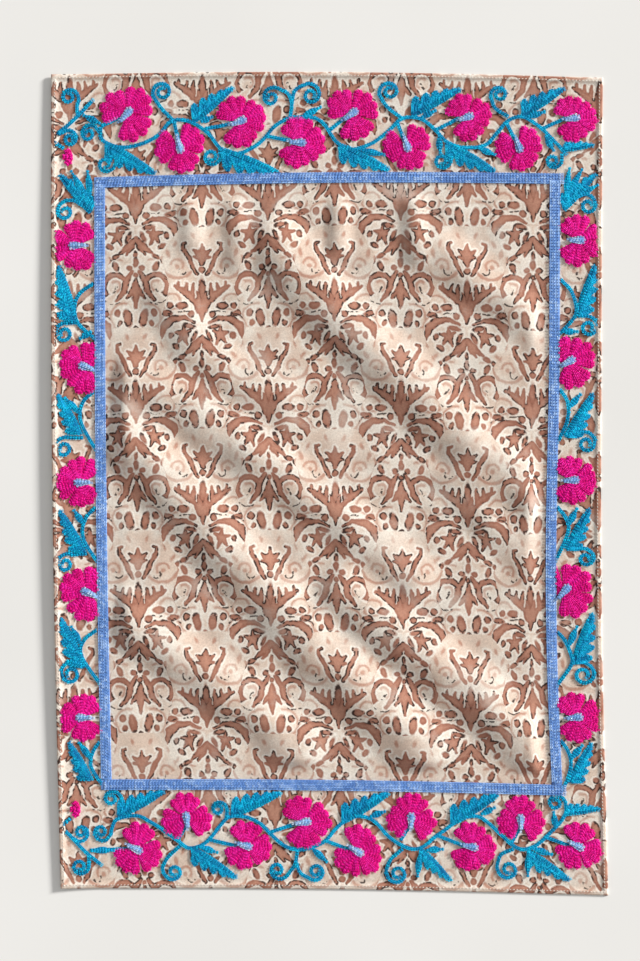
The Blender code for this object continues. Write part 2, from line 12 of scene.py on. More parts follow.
import bmesh
import bpy
import numpy as np
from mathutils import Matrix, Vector


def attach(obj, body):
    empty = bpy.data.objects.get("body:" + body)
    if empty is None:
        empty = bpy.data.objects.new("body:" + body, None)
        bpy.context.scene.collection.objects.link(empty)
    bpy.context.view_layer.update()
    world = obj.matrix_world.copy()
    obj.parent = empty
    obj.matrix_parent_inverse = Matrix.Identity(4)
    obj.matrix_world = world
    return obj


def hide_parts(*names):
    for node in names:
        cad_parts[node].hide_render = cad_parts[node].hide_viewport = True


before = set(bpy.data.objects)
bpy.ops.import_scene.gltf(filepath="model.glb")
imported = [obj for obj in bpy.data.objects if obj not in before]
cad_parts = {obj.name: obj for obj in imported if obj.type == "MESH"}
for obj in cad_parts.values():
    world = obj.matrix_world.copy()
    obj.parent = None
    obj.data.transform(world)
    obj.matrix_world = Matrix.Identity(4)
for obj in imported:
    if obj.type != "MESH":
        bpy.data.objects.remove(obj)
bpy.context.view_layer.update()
draw = random.Random(1928)
MM = 0.001
print("solids in the frame:", len(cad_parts))

# %% [markdown]
# ## Camera and light
# The towel is seen from straight above, so the camera looks down with a long lens that hardly narrows the far
# parts. A low, soft sun from the right draws the creases, as a window would, and an even pale sky fills the
# shadows. The sky alone would hide the creases, and a hard lamp would draw them too sharply.

# %% Camera
PHOTO_WIDTH, PHOTO_HEIGHT = 640, 961
PHOTO_SCALE = 0.866 * MM
TOWEL_MIDDLE = (329.7, 483.7)
LENS = 80
SENSOR = 36

scene = bpy.context.scene
camera = bpy.data.objects.new("camera", bpy.data.cameras.new("camera"))
camera.data.lens = LENS
camera.data.sensor_width = SENSOR
camera.location = (
    (PHOTO_WIDTH / 2 - TOWEL_MIDDLE[0]) * PHOTO_SCALE,
    (TOWEL_MIDDLE[1] - PHOTO_HEIGHT / 2) * PHOTO_SCALE,
    PHOTO_HEIGHT * PHOTO_SCALE * LENS / SENSOR,
)
scene.collection.objects.link(camera)
scene.camera = camera
scene.view_settings.view_transform = "Standard"
print("the camera hangs", round(camera.location.z, 2), "m above the towel")

# %% Light
KEY_AZIMUTH = math.radians(28)
KEY_HEIGHT = math.radians(19)
KEY_ANGLE = math.radians(11)
KEY_STRENGTH = 5.4
SKY_STRENGTH = 0.46

key = bpy.data.objects.new("key", bpy.data.lights.new("key", "SUN"))
key.data.energy = KEY_STRENGTH
key.data.angle = KEY_ANGLE
key.data.color = (1.0, 0.975, 0.94)
toward_key = Vector((math.cos(KEY_AZIMUTH), math.sin(KEY_AZIMUTH), math.tan(KEY_HEIGHT)))
key.rotation_euler = toward_key.to_track_quat("Z", "Y").to_euler()
scene.collection.objects.link(key)

world = bpy.data.worlds.new("sky")
world.use_nodes = True
sky = world.node_tree.nodes["Background"]
sky.inputs["Color"].default_value = (1.0, 0.985, 0.965, 1)
sky.inputs["Strength"].default_value = SKY_STRENGTH
scene.world = world

# %% [markdown]
# ## How the towel lies
# The cloth was cut as a plain rectangle. Lying down it is drawn up by its creases, its corners are a little
# askew and its sides bow. Every stitch is planned on the flat rectangle, in places (u, v) across and along,
# and then laid with the cloth by one function. The sizes are the same as the solid towel's.

# %% The lie of the cloth
WIDTH, LENGTH = 483 * MM, 711 * MM
HEM_WIDTH = 4 * MM
HEM_THICK = 1.8 * MM
CLOTH_THICK = 1.0 * MM
BAND_FROM_TOP, BAND_FROM_BOTTOM = 92 * MM, 90.5 * MM
BAND_FROM_LEFT, BAND_FROM_RIGHT = 42.5 * MM, 41.5 * MM
BAND_WIDTH = 9.5 * MM
TAKE_UP_ACROSS, TAKE_UP_ALONG = 0.988, 0.994
SIDE_BOW, TOP_BOW, BOTTOM_BOW = 3.0 * MM, 3.7 * MM, 2.4 * MM
TOP_BAND_SLOPE = 3.6 * MM
RIGHT_BAND_PULL, PULL_REACH = 4.5 * MM, 60 * MM
PULL_HEIGHT, PULL_SPREAD = 0.66, 0.34
LIFT, LIFT_REACH, LIFT_AT_CORNERS = 4.2 * MM, 40 * MM, 0.5
BAND_FLAT = 14 * MM
CORNER_SHIFT = {
    (0, 0): (-2.6 * MM, 0.6 * MM),
    (1, 0): (-2.4 * MM, -2.1 * MM),
    (1, 1): (2.2 * MM, -3.3 * MM),
    (0, 1): (5.6 * MM, 2.8 * MM),
}


def soft_bump(q):
    """1 at q = 0, falling smoothly to 0 at q = 1 and -1."""
    return np.where(np.abs(q) < 1, (1 - q * q) ** 2, 0.0)


def smooth_step(q):
    q = np.clip(q, 0.0, 1.0)
    return q * q * (3 - 2 * q)


def lay_free(u, v):
    """Where flat places lie, before the towel is centred on the origin."""
    across, down = u / WIDTH + 0.5, 0.5 - v / LENGTH
    x, y = u * TAKE_UP_ACROSS, v * TAKE_UP_ALONG
    for (right, low), (dx, dy) in CORNER_SHIFT.items():
        share = (across if right else 1 - across) * (down if low else 1 - down)
        x, y = x + share * dx, y + share * dy
    x = x - SIDE_BOW * np.sin(math.pi * down)
    y = y + (TOP_BOW * (1 - down) + BOTTOM_BOW * down) * np.sin(math.pi * across)
    band_v = LENGTH / 2 - BAND_FROM_TOP
    y = y + TOP_BAND_SLOPE * 2 * u / WIDTH * soft_bump((v - band_v) / BAND_FROM_TOP)
    band_u = WIDTH / 2 - BAND_FROM_RIGHT
    pull = soft_bump((u - band_u) / PULL_REACH) * soft_bump((down - PULL_HEIGHT) / PULL_SPREAD)
    return x - RIGHT_BAND_PULL * pull, y


edge_share = np.linspace(-0.5, 0.5, 61)
edge_u = np.concatenate([edge_share * WIDTH] * 2 + [np.full(61, WIDTH / 2), np.full(61, -WIDTH / 2)])
edge_v = np.concatenate([np.full(61, LENGTH / 2), np.full(61, -LENGTH / 2)] + [edge_share * LENGTH] * 2)
edge_x, edge_y = lay_free(edge_u, edge_v)
MIDDLE_X, MIDDLE_Y = (edge_x.min() + edge_x.max()) / 2, (edge_y.min() + edge_y.max()) / 2


def lay(u, v):
    x, y = lay_free(np.asarray(u, float), np.asarray(v, float))
    return x - MIDDLE_X, y - MIDDLE_Y


print("lying size in mm:", round(np.ptp(edge_x) / MM), "by", round(np.ptp(edge_y) / MM))

# %% [markdown]
# ## Creases
# The long creases run from upper left to lower right. Each one is a crest line with a width given on each side
# of it, so that the low sun lights one side and leaves the other dim. A cloth simulation would crumple the towel
# in its own way. Placing the creases one by one keeps them where they really are. Weaker gathers hang under the
# top band, where the stitching has drawn the cloth in.

# %% Creases
Crease = namedtuple("Crease", "height upper lower fade crest")
CREASES = (
    Crease(7.8, 34, 34, 24, ((-66, 236), (-32, 188), (3, 148), (61, 92), (119, 38), (171, -7), (208, -48))),
    Crease(5.0, 28, 28, 26, ((-150, 190), (-136, 150), (-110, 112), (-74, 86), (-20, 70))),
    Crease(5.8, 29, 30, 24, ((-206, 99), (-130, 72), (-84, 40), (-26, -5), (32, -49), (90, -96))),
    Crease(8.0, 34, 35, 24, ((-208, 70), (-147, 9), (-101, -43), (-54, -95), (-8, -147), (37, -187), (102, -250))),
    Crease(7.6, 32, 33, 26, ((-10, -75), (61, -133), (119, -176), (204, -252))),
    Crease(6.2, 31, 30, 24, ((-206, -96), (-118, -160), (-54, -205), (-8, -250))),
    Crease(5.2, 27, 28, 22, ((74, 216), (119, 182), (171, 144), (206, 110))),
    Crease(3.8, 26, 24, 28, ((92, 24), (140, -34), (206, -96))),
    Crease(3.2, 16, 14, 20, ((-121, 256), (-118, 192))),
    Crease(3.2, 16, 14, 20, ((-82, 256), (-80, 176))),
    Crease(4.0, 15, 13, 22, ((7, 260), (8, 186))),
    Crease(4.0, 16, 14, 22, ((72, 260), (74, 180))),
)
# Small tucks at the hems, two at the top and one at the bottom, and low ripples inside the band, only as high as a
# thread or two.
TUCKS = (
    Crease(1.1, 7, 6, 12, ((73, 352), (75, 326))),
    Crease(0.8, 6, 5, 12, ((127, 352), (125, 334))),
    Crease(0.7, 8, 6, 14, ((-40, -350), (-44, -328))),
)
RIPPLE = 0.5


def crease_height(crease, x, y):
    """Height of one crease at places of the lying cloth, all in millimetres."""
    nearest = np.full(np.shape(x), 1e9)
    along_at = np.zeros(np.shape(x))
    side_at = np.zeros(np.shape(x))
    run = 0.0
    for (x0, y0), (x1, y1) in zip(crease.crest, crease.crest[1:]):
        length = math.hypot(x1 - x0, y1 - y0)
        ax, ay = (x1 - x0) / length, (y1 - y0) / length
        along = np.clip((x - x0) * ax + (y - y0) * ay, 0, length)
        dx, dy = x - x0 - ax * along, y - y0 - ay * along
        away = np.hypot(dx, dy)
        closer = away < nearest
        nearest = np.where(closer, away, nearest)
        along_at = np.where(closer, run + along, along_at)
        side_at = np.where(closer, ax * dy - ay * dx, side_at)
        run += length
    width = np.where(side_at > 0, crease.upper, crease.lower)
    fade = smooth_step(np.minimum(along_at, run - along_at) / crease.fade)
    return crease.height * fade * soft_bump(nearest / width)


def rise(u, v):
    """Height of the cloth's underside above the table at flat places."""
    u, v = np.asarray(u, float), np.asarray(v, float)
    left, right = u + WIDTH / 2 - BAND_FROM_LEFT, WIDTH / 2 - BAND_FROM_RIGHT - u
    top, bottom = LENGTH / 2 - BAND_FROM_TOP - v, v + LENGTH / 2 - BAND_FROM_BOTTOM
    inside = smooth_step((np.minimum.reduce([left, right, top, bottom]) - BAND_WIDTH) / BAND_FLAT)
    x, y = lay(u, v)
    x, y = x / MM, y / MM
    height = sum(crease_height(crease, x, y) for crease in CREASES) * inside
    height = height + sum(crease_height(crease, x, y) for crease in TUCKS)
    wave = np.sin(0.11 * x + 0.07 * y + 2 * np.sin(0.031 * y)) * np.sin(0.09 * y - 0.05 * x + 1.7)
    height = height + RIPPLE * (wave + 1) * inside
    out = np.clip(1 - (u + WIDTH / 2) / LIFT_REACH, 0, None)
    lift = LIFT * (LIFT_AT_CORNERS + (1 - LIFT_AT_CORNERS) * np.sin(math.pi * (0.5 - v / LENGTH)))
    return height * MM + lift * out * out


def on_cloth(u, v, above):
    """Points at a height above the cloth's printed face, as an array of rows."""
    x, y = lay(u, v)
    z = rise(u, v) + CLOTH_THICK + above
    return np.stack([x, y, z + 0 * x], axis=-1)


print("highest crease in mm:", max(crease.height for crease in CREASES))

# %% [markdown]
# ## Meshes from arrays
# A woven towel has hundreds of rows and thousands of stitches, so meshes are filled from arrays in one go.
# A grid of places becomes a closed sheet: a printed face, an underside and a rim between them.

# %% Mesh helpers


def new_mesh_object(name, points, faces=(), edges=()):
    mesh = bpy.data.meshes.new(name)
    mesh.from_pydata([tuple(p) for p in points], [tuple(e) for e in edges], [tuple(f) for f in faces])
    obj = bpy.data.objects.new(name, mesh)
    scene.collection.objects.link(obj)
    return obj


def bake_down(obj, name):
    """The object as its modifiers leave it, as a plain mesh of its own."""
    bpy.context.view_layer.update()
    evaluated = obj.evaluated_get(bpy.context.evaluated_depsgraph_get())
    mesh = bpy.data.meshes.new_from_object(evaluated)
    mesh.name = name
    bpy.data.objects.remove(obj)
    plain = bpy.data.objects.new(name, mesh)
    scene.collection.objects.link(plain)
    return plain


def triangles(obj):
    obj.data.calc_loop_triangles()
    return len(obj.data.loop_triangles)


# %% [markdown]
# ## The cloth
# The towel is one thin sheet, so it is a fine grid that follows the creases, a thread's width thick, and
# thicker where the hem is turned. The flat place of each point is kept in a UV map, because the print and the
# weave belong to the cloth and bend with it. A second map gives the printed face most of the picture that a
# game engine would bake.

# %% Build the cloth
CLOTH_STEP = 3.1 * MM
HEM_LINES = (0.0, 0.5 * MM, 1.4 * MM, 3.2 * MM, 4.0 * MM, 4.7 * MM)
BAKE_FACE = (0.66, 0.97)
BAKE_BACK_SHARE = 0.48


def grid_lines(size):
    inner = size / 2 - HEM_LINES[-1]
    count = round(2 * inner / CLOTH_STEP)
    middle = [inner * (2 * k / count - 1) for k in range(1, count)]
    return np.array([a - size / 2 for a in HEM_LINES] + middle + [size / 2 - a for a in reversed(HEM_LINES)])


def hem_height(inset):
    """Thickness of the sheet at a distance from the cloth's edge: round at the fold, full over the hem."""
    fold = np.sqrt(np.clip(1 - (1 - np.clip(inset / (1.2 * MM), 0, 1)) ** 2, 0.12, 1))
    over = smooth_step((HEM_LINES[-1] - inset) / (0.9 * MM))
    return CLOTH_THICK + (HEM_THICK * fold - CLOTH_THICK) * over


columns, rows = grid_lines(WIDTH), grid_lines(LENGTH)
grid_u, grid_v = np.meshgrid(columns, rows)
inset = np.minimum(WIDTH / 2 - np.abs(grid_u), LENGTH / 2 - np.abs(grid_v))
x, y = lay(grid_u, grid_v)
z = rise(grid_u, grid_v)
across, down = grid_u.shape[1], grid_u.shape[0]
under = np.stack([x, y, z], axis=-1).reshape(-1, 3)
upper = np.stack([x, y, z + hem_height(inset)], axis=-1).reshape(-1, 3)
number = np.arange(across * down).reshape(down, across)
quads = np.stack([number[:-1, :-1], number[:-1, 1:], number[1:, 1:], number[1:, :-1]], axis=-1).reshape(-1, 4)
ring = np.concatenate([number[0, :-1], number[:-1, -1], number[-1, :0:-1], number[:0:-1, 0]])
following = np.roll(ring, -1)
count = across * down
rim = np.stack([ring + count, ring, following, following + count], axis=-1)
faces = np.concatenate([quads + count, quads[:, ::-1], rim])
cloth = new_mesh_object("towel_cloth", np.concatenate([under, upper]), faces.tolist())
cloth.data.shade_smooth()

flat_places = np.stack([grid_u, grid_v], axis=-1).reshape(-1, 2)
flat_places = np.concatenate([flat_places, flat_places])
corner_points = np.empty(len(cloth.data.loops), dtype=np.int64)
cloth.data.loops.foreach_get("vertex_index", corner_points)
flat_map = cloth.data.uv_layers.new(name="Flat")
flat_map.data.foreach_set("uv", flat_places[corner_points].astype(np.float32).ravel())
shares = flat_places / (WIDTH, LENGTH) + 0.5
bake = shares[corner_points] * BAKE_FACE + 0.01
is_back = np.zeros(len(corner_points), bool)
is_back[len(quads) * 4 : len(quads) * 8] = True
bake[is_back] = shares[corner_points][is_back] * BAKE_FACE * BAKE_BACK_SHARE + (0.67, 0.01)
bake_map = cloth.data.uv_layers.new(name="OFBake")
bake_map.data.foreach_set("uv", bake.astype(np.float32).ravel())
back = cloth.data.attributes.new("back", "FLOAT", "POINT")
back.data.foreach_set("value", np.repeat([1.0, 0.0], count).astype(np.float32))
print("cloth triangles:", triangles(cloth))

# %% [markdown]
# ## Rows of chain stitch
# Chain stitch is a row of small loops, each caught inside the next, so that a row looks like a braid. One loop
# is modelled once as two short strands that meet in a point. A Geometry Nodes tree then turns guide lines into
# curves, measures them off by the stitch pitch, and sets a loop on each point, turned along the row. Each loop
# gets a random shade for the thread's sheen. Copying loops by hand would be hopeless, and a bump map would be
# flat when seen from the side.

# %% One loop
LOOP_SIDES = 3
# A ring's last number is its crest: a painted highlight on the strand's upper side; the underside gets 0, painted
# shade.
LOOP_RINGS = ((0.0, 0.0, 0.0, 0.4), (0.34, 0.24, 0.2, 1.0), (0.8, 0.31, 0.21, 0.8), (1.25, 0.06, 0.0, 0.4))


def loop_mesh(name, length, width, height):
    """Two strands that start together, part, and close again; a ring is (place, side, radius, crest), crest a painted
    highlight.
    """
    bm = bmesh.new()
    crest = bm.verts.layers.float.new("crest")
    for side in (-1, 1):
        before = None
        for place, out, radius, light in LOOP_RINGS:
            middle = Vector((place * length, side * out * width, height * (0.35 + 0.5 * place)))
            here = []
            for k in range(LOOP_SIDES if radius else 1):
                turn = 2 * math.pi * (k + 0.25) / LOOP_SIDES
                around = Vector((0, math.cos(turn) * width, math.sin(turn) * height * 1.6)) * radius
                vert = bm.verts.new(middle + around)
                # Painted light: upper corners carry the ring's highlight, lower corners 0 as painted shade.
                vert[crest] = light if around.z >= 0 else 0.0
                here.append(vert)
            for k in range(LOOP_SIDES if before else 0):
                a, b = before[k % len(before)], before[(k + 1) % len(before)]
                c, d = here[(k + 1) % len(here)], here[k % len(here)]
                bm.faces.new(list(dict.fromkeys((a, b, c, d))))
            before = here
    bmesh.ops.recalc_face_normals(bm, faces=bm.faces)
    mesh = bpy.data.meshes.new(name)
    bm.to_mesh(mesh)
    bm.free()
    mesh.shade_smooth()
    obj = bpy.data.objects.new(name, mesh)
    scene.collection.objects.link(obj)
    return obj


STITCH_PITCH = 2.3 * MM
STITCH_WIDTH = 2.0 * MM
STITCH_HEIGHT = 0.9 * MM
loop = loop_mesh("chain_loop", STITCH_PITCH, STITCH_WIDTH, STITCH_HEIGHT)
print("triangles in one loop:", triangles(loop))

# %% The stitching tree


def stitch_tree(name, material):
    """Guide lines in, stitches out. Inputs: the pitch, the stitch to repeat, and a seed."""
    tree = bpy.data.node_groups.new(name, "GeometryNodeTree")
    for label, kind, way in (
        ("Geometry", "NodeSocketGeometry", "INPUT"),
        ("Pitch", "NodeSocketFloat", "INPUT"),
        ("Stitch", "NodeSocketObject", "INPUT"),
        ("Seed", "NodeSocketInt", "INPUT"),
        ("Geometry", "NodeSocketGeometry", "OUTPUT"),
    ):
        tree.interface.new_socket(label, in_out=way, socket_type=kind)
    nodes, links = tree.nodes, tree.links
    given = nodes.new("NodeGroupInput")
    curve = nodes.new("GeometryNodeMeshToCurve")
    links.new(given.outputs["Geometry"], curve.inputs["Mesh"])
    measure = nodes.new("GeometryNodeResampleCurve")
    measure.mode = "LENGTH"
    links.new(curve.outputs["Curve"], measure.inputs["Curve"])
    links.new(given.outputs["Pitch"], measure.inputs["Length"])
    tangent = nodes.new("GeometryNodeInputTangent")
    along = nodes.new("FunctionNodeAlignRotationToVector")
    along.axis = "X"
    links.new(tangent.outputs["Tangent"], along.inputs["Vector"])
    upright = nodes.new("FunctionNodeAlignRotationToVector")
    upright.axis = "Z"
    upright.pivot_axis = "X"
    upright.inputs["Vector"].default_value = (0, 0, 1)
    links.new(along.outputs["Rotation"], upright.inputs["Rotation"])
    stitch = nodes.new("GeometryNodeObjectInfo")
    links.new(given.outputs["Stitch"], stitch.inputs["Object"])
    size = nodes.new("FunctionNodeRandomValue")
    size.data_type = "FLOAT"
    size.inputs["Min"].default_value = 0.92
    size.inputs["Max"].default_value = 1.1
    links.new(given.outputs["Seed"], size.inputs["Seed"])
    copies = nodes.new("GeometryNodeInstanceOnPoints")
    links.new(measure.outputs["Curve"], copies.inputs["Points"])
    links.new(stitch.outputs["Geometry"], copies.inputs["Instance"])
    links.new(upright.outputs["Rotation"], copies.inputs["Rotation"])
    links.new(size.outputs["Value"], copies.inputs["Scale"])
    shade = nodes.new("FunctionNodeRandomValue")
    shade.data_type = "FLOAT"
    links.new(given.outputs["Seed"], shade.inputs["Seed"])
    store = nodes.new("GeometryNodeStoreNamedAttribute")
    store.data_type = "FLOAT"
    store.domain = "INSTANCE"
    store.inputs["Name"].default_value = "stitch_shade"
    links.new(copies.outputs["Instances"], store.inputs["Geometry"])
    links.new(shade.outputs["Value"], store.inputs["Value"])
    real = nodes.new("GeometryNodeRealizeInstances")
    links.new(store.outputs["Geometry"], real.inputs["Geometry"])
    paint = nodes.new("GeometryNodeSetMaterial")
    paint.inputs["Material"].default_value = material
    links.new(real.outputs["Geometry"], paint.inputs["Geometry"])
    out = nodes.new("NodeGroupOutput")
    links.new(paint.outputs["Geometry"], out.inputs["Geometry"])
    return tree


def stitched(name, lines, material, pitch=STITCH_PITCH, stitch=None, seed=1):
    """Guide lines become rows of stitches. A point of a line is a flat place and a height over the cloth."""
    points, edges = [], []
    for line in lines:
        first = len(points)
        points.extend(on_cloth(line[:, 0], line[:, 1], line[:, 2]))
        edges.extend((first + k, first + k + 1) for k in range(len(line) - 1))
    guide = new_mesh_object(name + "_guide", points, edges=edges)
    tree = stitch_tree(name + "_tree", material)
    step = guide.modifiers.new("stitches", "NODES")
    step.node_group = tree
    sockets = {s.name: s.identifier for s in tree.interface.items_tree if s.in_out == "INPUT"}
    step[sockets["Pitch"]] = pitch
    step[sockets["Stitch"]] = stitch or loop
    step[sockets["Seed"]] = seed
    piece = bake_down(guide, name)
    bpy.data.node_groups.remove(tree)
    return piece


# %% [markdown]
# ## Shader maths
# A material's pattern is a formula, so it is written as one. The class below wraps a socket of a material and
# lets Python's own signs add the Math nodes. Every other node comes from one method.

# %% Wires


class Wire:
    """A socket of a material. Expressions on it add Math nodes to the material."""

    def __init__(self, tree, socket):
        self.tree = tree
        self.socket = socket

    def node(self, kind, settings, inputs, output=0):
        """A node of this tree: its settings are set first, then its sockets get values or wires."""
        node = self.tree.nodes.new(kind)
        for label, value in settings.items():
            setattr(node, label, value)
        for label, value in inputs.items():
            if isinstance(value, Wire):
                self.tree.links.new(value.socket, node.inputs[label])
            else:
                node.inputs[label].default_value = value
        return Wire(self.tree, node.outputs[output])

    def maths(self, operation, *values, clamp=False):
        settings = {"operation": operation, "use_clamp": clamp}
        return self.node("ShaderNodeMath", settings, dict(enumerate(values)))

    def vector(self, operation, *values, output=0):
        return self.node("ShaderNodeVectorMath", {"operation": operation}, dict(enumerate(values)), output)

    def __add__(self, other):
        return self.maths("ADD", self, other)

    __radd__ = __add__

    def __sub__(self, other):
        return self.maths("SUBTRACT", self, other)

    def __rsub__(self, other):
        return self.maths("SUBTRACT", other, self)

    def __mul__(self, other):
        return self.maths("MULTIPLY", self, other)

    __rmul__ = __mul__

    def __truediv__(self, other):
        return self.maths("DIVIDE", self, other)

    def __abs__(self):
        return self.maths("ABSOLUTE", self)

    def least(self, other):
        return self.maths("MINIMUM", self, other)

    def most(self, other):
        return self.maths("MAXIMUM", self, other)

    def fraction(self):
        return self.maths("FRACT", self)

    def sine(self):
        return self.maths("SINE", self)

    def between(self, low, high):
        """0 below low, 1 above high and even between them; low may be the greater."""
        return self.maths("MULTIPLY_ADD", self, 1 / (high - low), -low / (high - low), clamp=True)

    def mix(self, first, second):
        """The first colour where this is 0, the second where it is 1."""
        settings = {"data_type": "RGBA", "clamp_factor": True}
        return self.node("ShaderNodeMix", settings, {0: self, 6: first, 7: second}, output=2)


def new_material(name, roughness):
    """A Principled material. Returns it, its shader node and a wire from which others start."""
    material = bpy.data.materials.new(name)
    material.use_nodes = True
    tree = material.node_tree
    shader = tree.nodes["Principled BSDF"]
    shader.inputs["Roughness"].default_value = roughness
    return material, shader, Wire(tree, None)


def feed(wire, shader, label):
    wire.tree.links.new(wire.socket, shader.inputs[label])


# %% [markdown]
# ## Embroidery thread
# The thread is glossy and twisted. Its colour is never even: each loop catches the light differently and the
# dye varies along the skein. So the base colour mixes three tones by the loop's own shade and by a fine noise,
# with painted light added: a painted highlight on the strands' tops, painted shade on their undersides and on
# the pads in the hollows between rows. A stripe across the strand gives the twist, and a little sheen softens
# the edges.

# %% Thread materials
THREADS = {
    "thread_magenta": ((0.43, 0.0, 0.11), (0.85, 0.0, 0.28), (1.0, 0.02, 0.50)),
    "thread_turquoise": ((0.0, 0.11, 0.28), (0.0, 0.33, 0.62), (0.0, 0.62, 0.90)),
    "thread_blue": ((0.10, 0.20, 0.50), (0.18, 0.37, 0.78), (0.50, 0.70, 1.0)),
    "thread_sky": ((0.13, 0.28, 0.60), (0.27, 0.50, 0.88), (0.72, 0.87, 1.0)),
}
TWIST_SCALE = 560.0


def thread_material(name, tones):
    dark, middle, light = [(*tone, 1) for tone in tones]
    material, shader, start = new_material(name, 0.5)
    spot = start.node("ShaderNodeTexCoord", {}, {}, "Object")
    shade = start.node("ShaderNodeAttribute", {"attribute_name": "stitch_shade"}, {}, "Fac")
    crest = start.node("ShaderNodeAttribute", {"attribute_name": "crest"}, {}, "Fac")
    skein = start.node("ShaderNodeTexNoise", {}, {"Vector": spot, "Scale": 70.0, "Detail": 2.0})
    fibre = start.node("ShaderNodeTexNoise", {}, {"Vector": spot, "Scale": 1500.0, "Detail": 2.0})
    # The crest term is painted light: strand tops lighter, undersides and pads darker.
    tone = shade * 0.55 + crest * 0.32 + (skein - 0.5) * 0.9 + (fibre - 0.5) * 0.6
    deep = tone.between(-0.05, 0.30).mix(dark, middle)
    colour = tone.between(0.46, 0.95).mix(deep, light)
    twist = start.node(
        "ShaderNodeTexWave",
        {"wave_type": "BANDS", "bands_direction": "DIAGONAL"},
        {"Vector": spot, "Scale": TWIST_SCALE, "Distortion": 1.5, "Detail": 1.0},
    )
    height = twist * 0.6 + fibre * 0.4
    bump = start.node("ShaderNodeBump", {}, {"Strength": 0.3, "Distance": 0.0002, "Height": height})
    feed(colour, shader, "Base Color")
    feed(0.66 - tone * 0.15, shader, "Roughness")
    feed(bump, shader, "Normal")
    shader.inputs["Specular IOR Level"].default_value = 0.16
    shader.inputs["Sheen Weight"].default_value = 0.02
    shader.inputs["Sheen Roughness"].default_value = 0.4
    return material


threads = {name: thread_material(name, tones) for name, tones in THREADS.items()}
print("threads:", ", ".join(threads))

# %% [markdown]
# ## The print
# The cloth is printed with a brown damask: an upright figure that repeats with a half drop, each half the
# mirror of the other. It is charted below in print units, 132.5 to the width of one repeat, as dots,
# ovals, tapering strokes and rings. The shader measures how far a point is from the nearest of them, so the
# same distance gives the brown of the shape, its dark broken outline, and the pale halo round it.

# %% The chart of the figure
REPEAT_WIDTH, REPEAT_HEIGHT = 132.5, 201.5
PRINT_UNIT = 0.8765 * MM
PRINT_START = (-51.2 * MM, 45.0 * MM)

Oval = namedtuple("Oval", "x y across along turn")
Stroke = namedtuple("Stroke", "x0 y0 x1 y1 start end")
Arc = namedtuple("Arc", "x y radius half toward reach")

FIGURE = (
    Stroke(0, 6, 0, 21, 0.7, 4.8), Stroke(1, 18, 6, 31, 4.8, 4.6), Stroke(8, 28.5, 17, 35, 3.8, 3.2),
    Stroke(17, 35, 27, 41, 3.2, 1.2), Stroke(9.5, 33, 8.5, 43, 2.6, 0.8), Stroke(16.5, 36, 15, 43.5, 2.2, 0.7),
    Stroke(24, 39, 23.5, 45, 1.7, 0.6),
    Oval(0, 37, 3.2, 10, 0), Stroke(0, 63.5, 0, 72, 2.2, 6.0), Stroke(0, 72, 0, 83, 4.6, 0.5),
    Stroke(2, 72, 8.6, 77.5, 3.6, 0.6), Stroke(2, 70, 8.4, 70.5, 3.0, 0.7), Oval(0, 57, 2.8, 2.8, 0),
    Stroke(5.0, 53, 9.2, 60, 1.1, 1.8), Stroke(9.2, 60, 12.6, 69, 1.8, 1.9),
    Stroke(12.6, 69, 18.5, 78, 1.9, 1.6), Stroke(18.5, 78, 19, 83.5, 1.5, 1.1), Stroke(19, 83.5, 16, 84.5, 1.1, 0.9),
    Oval(20, 21.3, 5.2, 3.3, 0), Oval(31.5, 21.5, 2.8, 2.8, 0), Oval(10.4, 13, 3.1, 3.1, 0),
    Oval(35, 14, 5.0, 2.6, 10), Stroke(7, 4.5, 17, 9.2, 0.8, 1.8), Stroke(17, 9.2, 29, 8.2, 1.8, 3.2),
    Stroke(29, 8.2, 37.5, 1.5, 3.2, 4.0), Stroke(37.5, 1.5, 41, -10, 4.0, 1.1), Oval(12.5, 0.8, 5, 2.1, 12),
    Oval(7.4, -9.5, 4.6, 1.8, -65), Oval(18, -7.5, 4.4, 4.4, 0), Stroke(18, -8, 14.5, -17, 3.0, 0.7),
    Stroke(19, -8, 23.5, -15, 2.8, 0.7), Stroke(17, -6, 11.4, -3.4, 2.6, 0.7), Stroke(18, -6, 18.5, 1, 2.6, 0.7),
    Stroke(19, -6.5, 26.5, -5, 2.8, 0.7), Oval(31, -8, 2.3, 2.9, 20), Oval(26, -19, 3.4, 2.2, 35),
    Stroke(0, -11, 7, -19, 2.4, 4.0), Stroke(7, -19, 16, -26, 3.6, 0.9), Stroke(4, -19, 9, -27, 2.8, 0.8),
    Oval(20, -29.5, 3.8, 1.9, -30),
    Oval(0, -27, 1.5, 2.8, 0), Oval(0, -35.5, 2.3, 4.2, 0), Oval(6.2, -41, 2.6, 2.3, 0),
    Oval(20, -39.5, 2.6, 4.4, -25), Oval(27, -34, 1.6, 2.6, 30), Arc(20.5, -59.5, 11.6, 2.2, 55, -0.2),
    Stroke(3.8, -45, 9.6, -54, 1.6, 2.8), Stroke(9.6, -54, 11.6, -64, 2.8, 2.6),
    Stroke(11.6, -64, 19, -73.5, 2.6, 1.1), Stroke(0, -52, 0, -64, 1.0, 5.4), Stroke(0, -64, 0, -81, 4.8, 0.7),
    Stroke(3.2, -64, 8.8, -71, 2.8, 0.8), Oval(0, -48, 1.9, 1.9, 0), Oval(8, -91, 3.9, 8, -10),
    Oval(18.5, -86, 3.0, 3.3, 0), Oval(16.2, -96, 2, 2.6, 20), Oval(0, -105.5, 3.2, 5.4, 0),
)
